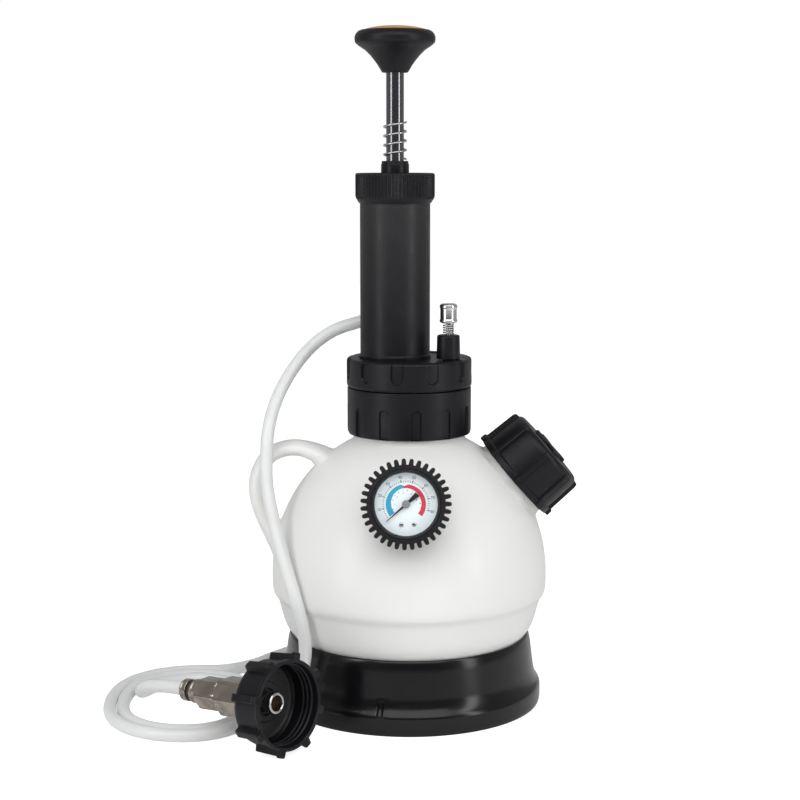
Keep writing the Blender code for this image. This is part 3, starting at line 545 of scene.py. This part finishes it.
def tank_outline():
    """The tank's side: a foot inside the base, a crease, an egg-shaped dome and the neck."""
    widest_z, wide, tall = 90, 95.4, 102.5
    points = [(0, 4.2), (70, 4.2, 4), (78, 7.5, 4), (80.2, 14), (80.3, 47.8, 1), (83, 50.5, 2),
              (86.8, 56.2, 6), (91.2, 72.6, 3), (92.0, 75.2, 1.6), (94.6, 77.8, 1.8), (95.3, 82)]
    top_z = 183.2
    steps = 40
    for i in range(steps + 1):
        height = widest_z + (top_z - widest_z) * math.sin(math.pi / 2 * i / steps)
        rise = (height - widest_z) / tall
        points.append((wide * math.sqrt(1 - rise * rise), height))
    return points + [(38, 185.5, 2), (38, 209.5, 0.6), (0, 209.5)]


HANDLE_ROUTE = [
    (-50, 0, 164), (-64, 0, 173.5), (-79, 0, 177.5), (-93.5, 0, 174), (-102, 0, 165),
    (-106, 0, 150.5), (-103.2, 0, 134.5), (-96.5, 0, 121), (-86, 0, 106),
]
HANDLE_HALF_THICK = 5.6
HANDLE_HALF_WIDE = 11
HANDLE_FLARE = 5                # added to both where the handle meets the tank
FILLER_NECK = [(0, -22), (31, -22), (29.4, -6, 4), (28.6, 2, 3), (28.6, 20, 1), (0, 20)]
GAUGE_BOSS = [(0, -39), (15, -39), (13, -29, 2), (13, -25.4, 1), (0, -25.4)]


def add_handle(shape):
    centres = curve_through([Vector(p) * MM for p in HANDLE_ROUTE], 3 * MM)
    last = len(centres) - 1

    def size(i):
        flare = HANDLE_FLARE * max(0.0, 1 - min(i, last - i) / 11) ** 2
        return (HANDLE_HALF_THICK + flare) * MM, (HANDLE_HALF_WIDE + flare) * MM

    add_tube(shape, centres, size, 40, side_axis=(0, 1, 0))


def melted(shape):
    """A shape's parts joined into one skin with rounded joins."""
    bmesh.ops.recalc_face_normals(shape, faces=shape.faces)
    rough = bpy.data.meshes.new("tank_rough")
    shape.to_mesh(rough)
    shape.free()
    holder = bpy.data.objects.new("tank_rough", rough)
    bpy.context.scene.collection.objects.link(holder)
    melt = holder.modifiers.new("melt", 'REMESH')
    melt.mode = 'VOXEL'
    melt.voxel_size = 1.5 * MM
    relax = holder.modifiers.new("relax", 'SMOOTH')
    relax.factor = 0.5
    relax.iterations = 3
    finished = holder.evaluated_get(bpy.context.evaluated_depsgraph_get())
    skin = bmesh.new()
    skin.from_mesh(finished.to_mesh())
    finished.to_mesh_clear()
    bpy.data.objects.remove(holder)
    return skin


def make_tank():
    """The blow-moulded tank with its handle, its filler neck and the gauge's boss."""
    shape = bmesh.new()
    add_turned(shape, softened(tank_outline()), 192)
    add_handle(shape)
    for outline, sides, place in ((FILLER_NECK, 128, FILLER), (GAUGE_BOSS, 64, GAUGE)):
        spout = bmesh.new()
        add_turned(spout, softened(outline), sides)
        bmesh.ops.transform(spout, matrix=place, verts=spout.verts)
        merge(shape, spout)
    put("tank_skin", melted(shape), TANK, "tank_unit", ["tank"], sharp=180)


# ---------------------------------------------------------------- pump head

COLLAR_SLOTS = 12
HEAD_SLOTS = 11


def make_collar():
    """Collar nut with slots that are round at the top and open at its foot."""
    low, high = 188.2, 220.4
    slot_top, slot_width, slot_depth = low + 20.4, 6.8, 1.4
    first = math.radians(-144)

    def slots(angle, radius, height):
        if radius < 41.4 * MM or height > (high - 1.5) * MM:
            return 0.0
        across = offset_in_turn(angle, first, COLLAR_SLOTS) * radius
        inside = slot_shape(across, slot_top * MM - height, slot_width * MM)
        return -slot_depth * MM * inside

    points = [(38.3, low), (42.0, low, 1), (42.6, low + 2.4, 1.2), (42.6, high, 0.9), (38.3, high)]
    turned("collar_ring", points, BLACK, "tank_unit", ["collar_nut"], sides=600,
           push=slots, fine=(0.6, low - 1, high))


def make_head():
    """Head cap with slots that are round at the foot and open at its top, and a socket for
    the cylinder."""
    low, high = 220.8, 240.6
    slot_foot, slot_width, slot_depth = low + 5.4, 8.2, 1.6
    socket_r, socket_floor = 24.2, 234.3
    first = math.radians(-134)

    def slots(angle, radius, height):
        if radius < 40.6 * MM or height < (low + 3) * MM:
            return 0.0
        across = offset_in_turn(angle, first, HEAD_SLOTS) * radius
        inside = slot_shape(across, height - slot_foot * MM, slot_width * MM)
        return -slot_depth * MM * inside

    points = [(0, 213), (37.6, 213), (37.6, low), (42.2, low, 0.8), (43, low + 1.4, 0.8),
              (43, high, 2.6), (35, high, 1), (34.4, high - 0.8, 0.3), (socket_r, high - 0.8),
              (socket_r, socket_floor), (0, socket_floor)]
    outline = subdivided(softened(points), 0.6 * MM, (low + 1) * MM, high * MM)
    shape = bmesh.new()
    add_turned(shape, outline, HEAD_SLOTS * 56, slots)
    # The socket is on the pump's axis, to one side of the tank's
    for vert in shape.verts:
        if vert.co.z > (socket_floor - 1) * MM and vert.co.xy.length < (socket_r + 1) * MM:
            vert.co.x += PUMP.translation.x
    put("head_shell", shape, BLACK, "tank_unit", ["head_cap"])


def make_cylinder():
    """Cylinder tube, the knurled cap on it and the rod's guide in the cap."""
    points = [(21.5, 234.6), (23.9, 234.6), (24.4, 240.2, 0.4), (24.6, 242.4, 0.4),
              (23.9, 243.2, 0.6), (23.9, 357), (21.5, 357)]
    turned("cylinder_tube", points, BLACK, "tank_unit", ["pump_cylinder"], PUMP)
    low, high = 345.7, 365.9
    knurl_low, knurl_high = low + 2.6, high - 0.5
    ribs = 64

    def knurl(angle, radius, height):
        if radius < 26.2 * MM or not knurl_low * MM < height < knurl_high * MM:
            return 0.0
        ends = min(height - knurl_low * MM, knurl_high * MM - height) / (1.2 * MM)
        return -0.7 * MM * smooth_step(ends) * (0.5 - 0.5 * math.cos(ribs * angle)) ** 0.7

    points = [(24.2, low), (24.5, low, 0.3), (27, low + 4, 1.5), (27, high, 1.8),
              (24.4, high, 0.5), (23.6, high - 0.6, 0.5), (10.2, high - 0.6, 0.3),
              (9.8, high - 1), (9.8, 357.4), (24.2, 357.4)]
    turned("knurled_cap", points, BLACK, "tank_unit", ["cylinder_cap"], PUMP,
           sides=ribs * 10, push=knurl, fine=(0.8, low + 2, high))
    points = [(8, 302.3), (9.5, 302.3), (9.5, 353), (21.2, 353), (21.2, 357), (9.5, 357),
              (9.5, 371.8, 0.4), (9.1, 372.2, 0.4), (9.1, 374, 0.8), (6.6, 374, 0.5), (6.3, 373),
              (6.3, 310.3), (8, 310.3)]
    turned("rod_bush", points, BLACK, "tank_unit", ["rod_guide"], PUMP, sides=96)


def make_plunger():
    """Rod, knob and the orange disc in the knob's top."""
    rod = [(0, 286), (5, 286, 0.6), (5, 301.7), (6, 301.7), (6, 446.8), (0, 446.8)]
    turned("rod", rod, ROD, "plunger", ["piston_rod"], PUMP, sides=96)
    base = 432.8                # the knob's underside, from which both outlines are measured
    knob = [(6.3, 0), (8.6, 0, 0.5), (9.8, 1.8, 1), (11.7, 5.1), (14.1, 8.3), (16.8, 11.6),
            (20.3, 15), (24.4, 17.7, 0.6), (26.9, 19.8, 1.2), (27.2, 21.6, 1), (27.2, 24.4, 1.6),
            (25.2, 27.2, 2), (22.9, 28.2, 0.4), (22.6, 27.2, 0.2), (22.6, 26.2), (0, 26.2),
            (0, 14.3), (6.3, 14.3)]
    points = [(radius, base + height, *rest) for radius, height, *rest in knob]
    turned("knob_body", points, BLACK, "plunger", ["knob"], PUMP, sides=160)
    insert = [(0, 26.5), (22.3, 26.5), (22.2, 27.8, 0.6), (20.4, 28.7, 1), (15.6, 29.9, 3),
              (9, 30.8, 3), (0, 31.1)]
    points = [(radius, base + height, *rest) for radius, height, *rest in insert]
    turned("knob_disc", points, ORANGE, "plunger", ["knob_insert"], PUMP, sides=128)


def spring(name, low, high, radius, wire, turns, matrix, node):
    """A wire spring with turns of even pitch."""
    steps = turns * 40
    rise = high - low - 2 * wire
    centres = []
    for i in range(steps + 1):
        angle = FULL_TURN * turns * i / steps
        height = low + wire + rise * i / steps
        centres.append(Vector((radius * math.cos(angle), radius * math.sin(angle), height)) * MM)
    shape = bmesh.new()
    add_tube(shape, centres, lambda i: (wire * MM, wire * MM), 12)
    return put(name, shape, SPRING, "tank_unit", [node], matrix)


def make_springs():
    """Each spring stands on its foot and reaches up to what rests on it."""
    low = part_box("cushion_spring")[0].z / MM
    cushion_top = 400.7
    piece = spring("rod_spring", low, cushion_top, 7.4, 0.7, 4, PUMP, "cushion_spring")
    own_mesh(piece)
    low, high = [corner.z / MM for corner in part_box("relief_spring")]
    piece = spring("button_spring", low, high, 3.4, 0.5, 4, RELIEF, "relief_spring")
    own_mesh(piece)


def make_relief_valve():
    body = [(2, 231), (3.7, 231), (3.7, 240.9), (8.1, 240.9, 0.5), (7.7, 256.6, 0.8),
            (6.8, 257.2, 0.4), (2, 257.2)]
    turned("relief_boss", body, BLACK, "tank_unit", ["relief_valve_body"], RELIEF,
           sides=72)
    button = [(2, 265.2), (4.8, 265.2, 0.4), (6, 266, 0.5), (6, 267.4, 0.3), (5.6, 268, 0.3),
              (5.6, 275, 0.3), (6, 275.8, 0.3), (6, 277.4, 0.6), (4.8, 278.4, 0.5), (0, 278.4),
              (0, 273.5), (2, 273.5)]
    turned("relief_knob", button, CHROME, "relief_button", ["relief_button"], RELIEF,
           sides=72)


def make_elbow():
    """The hose's elbow behind the cylinder: a post with a shoulder and a ribbed side arm."""
    place = Matrix.Translation((0, middle("hose_elbow").y, 0))
    shape = bmesh.new()
    post = [(0, 218), (3.7, 218), (3.7, 240.9), (6.4, 240.9, 0.5), (6.4, 247, 0.5),
            (5.8, 247.8, 0.5), (5.8, 268, 2), (4.2, 271, 1), (0, 271)]
    add_turned(shape, softened(post), 72)
    arm = bmesh.new()
    barb = [(0, -2), (5.4, -2), (5.4, 8, 0.4), (5.9, 8.6, 0.4), (5.9, 11, 0.4), (5.6, 11.6, 0.3),
            (5.6, 14, 0.3), (0, 14)]
    add_turned(arm, softened(barb), 72)
    arm_height = HOSE_ROUTE[0][2] * MM
    turn = Matrix.Translation((0, 0, arm_height)) @ Matrix.Rotation(-math.pi / 2, 4, 'Y')
    bmesh.ops.transform(arm, matrix=turn, verts=arm.verts)
    merge(shape, arm)
    put("outlet_elbow", shape, BLACK, "tank_unit", ["hose_elbow"], place)


# ---------------------------------------------------------------- gauge

NEEDLE_REST = math.radians(221)
SCALE_STEP = math.radians(-29.6)
SCALE_MARKS = 8
SCALE_SWEEP = SCALE_STEP * SCALE_MARKS
INNER_MARKS = 6


def make_boot():
    """Rubber boot round the gauge's case, with rounded teeth like a cog's."""
    teeth, root, reach, half_width = 35, 25.2, 3.9, 1.55
    back, front = -14.6, -0.9
    first = math.radians(93)

    def tooth(angle, radius, height):
        if radius < 24.6 * MM or not back * MM < height < front * MM:
            return 0.0
        ends = min(front * MM - height, height - back * MM) / (0.9 * MM)
        near = abs(offset_in_turn(angle, first, teeth)) * (root + 2) / half_width
        return reach * MM * min(1.0, ends) ** 0.5 * max(0.0, 1 - near ** 3) ** (1 / 3)

    points = [(22.4, -0.4), (22.5, 0, 0.3), (24.2, 0, 1), (root, -1.1, 0.5), (root, back, 0.5),
              (24.2, -25, 1), (7, -25), (7, -23), (22.4, -23)]
    turned("gauge_rubber", points, RUBBER, "tank_unit", ["gauge_boot"], GAUGE,
           sides=teeth * 20, push=tooth, fine=(0.7, -15.2, 0))


def flat_shape(shape, corners, level, thickness):
    """A thin flat plate with the given corners, its upper face at a level."""
    low = [shape.verts.new((x, y, level - thickness)) for x, y in corners]
    high = [shape.verts.new((x, y, level)) for x, y in corners]
    shape.faces.new(reversed(low))
    shape.faces.new(high)
    for i in range(len(corners)):
        j = (i + 1) % len(corners)
        shape.faces.new((low[i], low[j], high[j], high[i]))


DIAL_LEVEL = -7.2 * MM
INK = 0.05 * MM


def make_arc(name, start, end, width, outer, taper, level, material):
    """A coloured band on the dial, broad at its start and with a point taper degrees long at
    its end. width is the band's width at its start and at its end."""
    steps = 60
    shape = bmesh.new()
    inside, outside = [], []
    for i in range(steps + 1):
        degrees = start + (end - start) * i / steps
        inner = outer - width[0] + (width[0] - width[1]) * i / steps
        left = abs(degrees - end) / taper
        edge = outer if left > 1 else inner + (outer - inner) * max(0.04, left)
        angle = math.radians(degrees)
        inside.append((inner * MM * math.cos(angle), inner * MM * math.sin(angle)))
        outside.append((edge * MM * math.cos(angle), edge * MM * math.sin(angle)))
    flat_shape(shape, outside + inside[::-1], level, INK)
    put(name, shape, material, "tank_unit", (), GAUGE)


def dial_number(name, text, radius, angle, size):
    """A number printed on the dial, standing upright."""
    data = bpy.data.curves.new(name, 'FONT')
    data.body = text
    data.size = size * MM
    data.extrude = INK / 2
    data.align_x = 'CENTER'
    data.align_y = 'CENTER'
    holder = bpy.data.objects.new(name + "_text", data)
    bpy.context.scene.collection.objects.link(holder)
    drawn = holder.evaluated_get(bpy.context.evaluated_depsgraph_get())
    shape = bmesh.new()
    shape.from_mesh(drawn.to_mesh())
    drawn.to_mesh_clear()
    bpy.data.objects.remove(holder)
    place = (radius * MM * math.cos(angle), radius * MM * math.sin(angle), DIAL_LEVEL + INK / 2)
    put(name, shape, DIAL_GREY, "tank_unit", (), GAUGE @ Matrix.Translation(place))


def add_mark(shape, angle, tip, root, half):
    """A mark of the scale between two radii; half is half its width."""
    turn = Matrix.Rotation(angle, 2)
    corners = [turn @ Vector(p) * MM
               for p in ((root, -half), (tip, -half), (tip, half), (root, half))]
    flat_shape(shape, [tuple(c) for c in corners], DIAL_LEVEL + INK, INK)


def make_ticks():
    """Outer scale with fine and main marks, and a sparse inner scale."""
    shape = bmesh.new()
    fine_marks = 5
    for i in range(SCALE_MARKS * fine_marks + 1):
        size = (15.0, 14.1, 0.18) if i % fine_marks else (15.7, 14.0, 0.3)
        add_mark(shape, NEEDLE_REST + SCALE_STEP * i / fine_marks, *size)
    for i in range(INNER_MARKS * 2 + 1):
        size = (9.4, 8.4, 0.2) if i % 2 else (9.4, 9.0, 0.14)
        add_mark(shape, NEEDLE_REST + SCALE_SWEEP * i / (INNER_MARKS * 2), *size)
    put("dial_ticks", shape, DIAL_GREY, "tank_unit", (), GAUGE)


def make_gauge_face():
    """Everything seen in the gauge but its needle, and the case behind it."""
    bezel = [(20, -2.4), (22.3, -2.4), (22.3, -0.2, 0.3), (21.6, 0.1, 0.4), (20.9, -0.3, 0.3),
             (20.3, -1.6, 0.4)]
    turned("bezel_ring", bezel, GLOSS_BLACK, "tank_unit", ["gauge_bezel"],
           GAUGE, 160)
    case = [(22, -3), (22, -22.4, 1), (6.6, -22.4), (6.6, -21.4), (21, -21.4), (21, -3)]
    turned("case_can", case, BLACK, "tank_unit", ["gauge_case"], GAUGE, 128)
    dial = [(1.5, -8), (20.6, -8), (20.6, -7.2), (1.5, -7.2)]
    turned("dial_plate", dial, DIAL, "tank_unit", ["gauge_dial"], GAUGE, 128)
    lens = [(0, -4.4), (20.7, -4.4), (20.7, -3.2, 0.1), (12, -3.05), (0, -3)]
    turned("lens_disc", lens, LENS, "tank_unit", ["gauge_lens"], GAUGE, 128)
    # Both arcs run up from the foot of the dial to a point at its top
    make_arc("dial_arc_blue", 217, 84, (3.8, 2.2), 12.9, 22, DIAL_LEVEL + INK, DIAL_BLUE)
    make_arc("dial_arc_red", -37, 107, (3.1, 2.3), 12.7, 24, DIAL_LEVEL + 2 * INK, DIAL_RED)
    make_ticks()
    for i in range(1, SCALE_MARKS + 1):
        dial_number(f"dial_number_{i}", str(i * 10), 17.5, NEEDLE_REST + SCALE_STEP * i, 2.6)
    for i in range(1, INNER_MARKS):
        angle = NEEDLE_REST + SCALE_SWEEP * i / INNER_MARKS
        dial_number(f"dial_inner_{i}", str(i), 7.2, angle, 1.7)
    for name, (x, y), turn in (("screw_left", (-3, -13), 0.6), ("screw_right", (5, -12.7), 2.3)):
        make_screw(name, x, y, turn)


def make_screw(name, x, y, turn):
    """A small domed screw with a slot across its head, the slot drawn as a black bar of painted shade."""
    head = bmesh.new()
    add_turned(head, softened([(0, -6.9), (1.65, -6.9, 0.2), (1.3, -6.4, 0.4), (0, -6.25)]), 32)
    place = GAUGE @ Matrix.Translation((x * MM, y * MM, 0))
    node = "dial_" + name
    put("dial_" + name + "_head", head, CHROME, "tank_unit", [node], place)
    # The slot is a thin black bar on the head: painted shade in place of a cut groove
    slot_shade_bar = bmesh.new()
    size = Vector((2.3, 0.4, 0.14)) * MM
    spot = Matrix.Rotation(turn, 4, 'Z') @ Matrix.Translation((0, 0, -6.28 * MM))
    add_block(slot_shade_bar, size, spot, 0.03 * MM)
    put("dial_" + name + "_slot", slot_shade_bar, BLACK, "tank_unit", (), place)


def make_needle():
    """Pointer, broad counterweight and grey hub, on one arbor."""
    shape = bmesh.new()
    outline = [(-9.8, -1.75), (-9.8, 1.75), (-2, 0.95), (2, 0.75), (17, 0.16), (17, -0.16),
               (2, -0.75), (-2, -0.95)]
    turn = Matrix.Rotation(NEEDLE_REST, 2)
    corners = [tuple(turn @ Vector(p) * MM) for p in outline]
    flat_shape(shape, corners, -5.5 * MM, 0.6 * MM)
    put("needle_blade", shape, PLAIN_BLACK, "gauge_needle", ["gauge_needle"],
        GAUGE)
    hub = [(0, -6.5), (2.6, -6.5), (2.6, -5.4, 0.3), (2.2, -5.1, 0.3), (0.8, -5), (0.7, -5.2),
           (0, -5.2)]
    turned("needle_hub", hub, SATIN_GREY, "gauge_needle", (), GAUGE, 64)


# ---------------------------------------------------------------- screw caps

CAP_RIBS = 8


def rib_push(first, reach, half_width, low, high):
    """Push of a cap's ribs: flat-topped, with soft sides, between two heights."""
    def push(angle, radius, height):
        if not low * MM < height < high * MM:
            return 0.0
        near = abs(offset_in_turn(angle, first, CAP_RIBS)) * radius
        rise = smooth_step(1.0 - (near - half_width * MM) / (0.7 * MM))
        ends = min(height - low * MM, high * MM - height) / (1.1 * MM)
        return reach * MM * rise * min(1.0, ends) ** 0.5
    return push


def make_filler_cap():
    """Ribbed cap with a lip round its mouth and a raised cross on its top."""
    inner_r, depth, wall = 29.2, 32, 2.4
    rib_end = 30.9
    ribs = rib_push(math.radians(-3.75), 2.6, 1.3, -0.6, rib_end)

    def push(angle, radius, height):
        return ribs(angle, radius, height) if radius > (inner_r + 0.1) * MM else 0.0

    points = [(inner_r, 0), (33, 0, 0.5), (32.8, 4.4, 0.6), (31.3, 5.2, 0.5), (30.4, 28.9, 2.4),
              (27.6, depth, 1.6), (0, depth), (0, depth - wall), (27.6, depth - wall),
              (inner_r, 27.5)]
    shape = bmesh.new()
    outline = subdivided(softened(points), 0.8 * MM, -MM, rib_end * MM)
    add_turned(shape, outline, CAP_RIBS * 80, push)
    bar = Vector((30, 6.6, 4.8)) * MM
    for degrees in (-70, 20):
        place = Matrix.Translation((0, 0, (depth + 0.1) * MM))
        add_block(shape, bar, Matrix.Rotation(math.radians(degrees), 4, 'Z') @ place, 1.1 * MM)
    put("filler_lid", shape, BLACK, "filler_cap", ["filler_cap"], FILLER)


def add_inner_thread(shape):
    """A rounded thread on the inside of the adapter cap's wall, run out at both ends."""
    turns, steps, fading = 3, 96, 12
    start, pitch = 3.4, 3.6
    centres = []
    for i in range(turns * steps + 1):
        angle = FULL_TURN * i / steps
        fade = min(1.0, i / fading, (turns * steps - i) / fading)
        reach = 26.7 - 0.5 * fade
        height = start + pitch * i / steps
        centres.append(Vector((reach * math.cos(angle), reach * math.sin(angle), height)) * MM)
    add_tube(shape, centres, lambda i: (0.95 * MM, 0.8 * MM), 10, side_axis=(0, 0, 1))


def make_adapter_cap():
    """Ribbed cap seen from its mouth, with a thread inside and a gasket on its floor."""
    ribs = rib_push(math.radians(18.75), 4.2, 2.1, -1, 24.2)

    def push(angle, radius, height):
        return ribs(angle, radius, height) if radius > 27.2 * MM else 0.0

    depth, wall, hole_r = 25, 2.4, 6.8
    points = [(26.6, 0.5, 0.4), (27.4, 0, 0.4), (29.2, 0, 0.5), (29.2, 2.4, 0.6),
              (28.2, 3.4, 0.6), (27.4, 22, 2.4), (24.6, depth, 1.6), (hole_r, depth),
              (hole_r, depth - wall), (24.9, depth - wall), (26.5, 20.6)]
    shape = bmesh.new()
    outline = subdivided(softened(points), 0.8 * MM, -MM, 24.4 * MM)
    add_turned(shape, outline, CAP_RIBS * 60, push)
    add_inner_thread(shape)
    cap = put("adapter_shell", shape, BLACK, "tank_unit", ["adapter_cap"],
              ADAPTER)
    pad = [(9, 20.6), (12.6, 20.6, 0.3), (13.2, 21.4, 0.3), (21.8, 21.4, 0.3), (22.4, 20.6, 0.4),
           (24.2, 20.6, 0.4), (24.4, 22.3), (9, 22.3)]
    gasket = turned("adapter_pad", pad, SEAL, "tank_unit", ["adapter_gasket"],
                    ADAPTER, 96)
    return [cap, gasket]


COUPLER_BORE = 2.8              # radius


def hexagon(name, node, across_flats, low, high):
    """A hexagon with its corners turned down at both ends, between two heights measured
    from the coupler's start."""
    flat = across_flats / 2
    corner = flat * 2 / math.sqrt(3)
    low, high = COUPLER_START + low, COUPLER_START + high

    def side(angle, radius, height):
        if radius < (flat - 1.4) * MM:
            return 0.0
        near = offset_in_turn(angle, 0, 6)
        reach = flat / math.cos(math.pi / 6 - abs(near))
        return min(0.0, reach * MM - radius)

    points = [(COUPLER_BORE, low), (flat - 0.3, low), (corner - 0.2, low + 1.3),
              (corner - 0.2, high - 1.3), (flat - 0.3, high), (COUPLER_BORE, high)]
    return turned(name, points, NICKEL, "tank_unit", [node], ADAPTER, 144, side)


def along_coupler(name, points, material, node):
    """A turned fitting with the coupler's bore. points are those of its outside, their
    heights measured from the coupler's start."""
    first, last = points[0][1], points[-1][1]
    outline = [(COUPLER_BORE, first), *points, (COUPLER_BORE, last)]
    moved = [(radius, COUPLER_START + height, *rest) for radius, height, *rest in outline]
    return turned(name, moved, material, "tank_unit", [node], ADAPTER, 96)


def make_coupler():
    """Metal fittings between the cap and the hose."""
    made = [make_adapter_nipple()]
    washer = [(11.4, 0, 0.4), (11.4, 4.2, 0.6), (10.4, 5, 0.3)]
    made.append(along_coupler("gold_washer", washer, BRASS, "coupler_washer"))
    made.append(hexagon("hexagon_large", "coupler_nipple", 23.4, 5.3, 32))
    made.append(hexagon("hexagon_small", "coupler_union", 19.4, 32.3, 52.5))
    shank = [(8.2, 52.8, 0.4), (8.2, 55.2, 0.3), (7.3, 55.8, 0.3), (7.3, 57, 0.3),
             (8, 57.6, 0.3), (8, 59.2, 0.4)]
    made.append(along_coupler("coupler_neck", shank, NICKEL, "coupler_shank"))
    ring = [(6.8, 59.5, 0.6), (7.4, 61.2, 1.2), (6.8, 62.9, 0.6)]
    made.append(along_coupler("coupler_ring", ring, SEAL, "coupler_seal"))
    collar = [(7.4, 63.2, 0.5), (7.4, 65.6, 0.3), (6.8, 66.2, 0.3), (6.8, 67, 0.3),
              (7.4, 67.6, 0.3), (7.4, 68.4, 0.5), (6.4, COUPLER_LENGTH, 0.4)]
    made.append(along_coupler("coupler_end", collar, NICKEL, "coupler_collar"))
    return made


def make_adapter_nipple():
    """Ring-shaped front of the nipple in the cap's mouth."""
    lip = [(4.9, 11.4, 0.3), (5.8, 11, 0.4), (7, 11.4, 0.5), (7.5, 12.8, 0.4), (7.5, 17, 0.3),
           (6, 17.6, 0.3), (6, 18.6, 0.3), (6.5, 19.2), (6.5, 25.3), (4.9, 25.3)]
    return turned("nipple_ring", lip, SPRING, "tank_unit", ["adapter_nipple"],
                  ADAPTER, 96)


# ---------------------------------------------------------------- everything else

HIDDEN_FINISHES = {"seal_rubber": SEAL, "black_plastic": BLACK, "rod_steel": ROD,
                   "spring_steel": SPRING, "brass": BRASS, "white_plastic": WHITE,
                   "boot_rubber": RUBBER, "nickel": NICKEL}


def dress_cad_nodes():
    """Give the CAD nodes that stay their materials."""
    for row in frame["record"]["subparts"]:
        node = frame["nodes"][row["node"]]
        if not node.hide_render:
            node.data.materials.clear()
            node.data.materials.append(HIDDEN_FINISHES[row["material_slot"]])


def main():
    make_camera()
    make_backdrop()
    make_lights()
    make_floor()
    hose, length = make_hose()
    make_base()
    make_tank()
    make_collar()
    make_head()
    make_cylinder()
    make_plunger()
    make_springs()
    make_relief_valve()
    make_elbow()
    make_boot()
    make_gauge_face()
    make_needle()
    make_filler_cap()
    on_hose = make_adapter_cap() + make_coupler()
    dress_cad_nodes()


main()
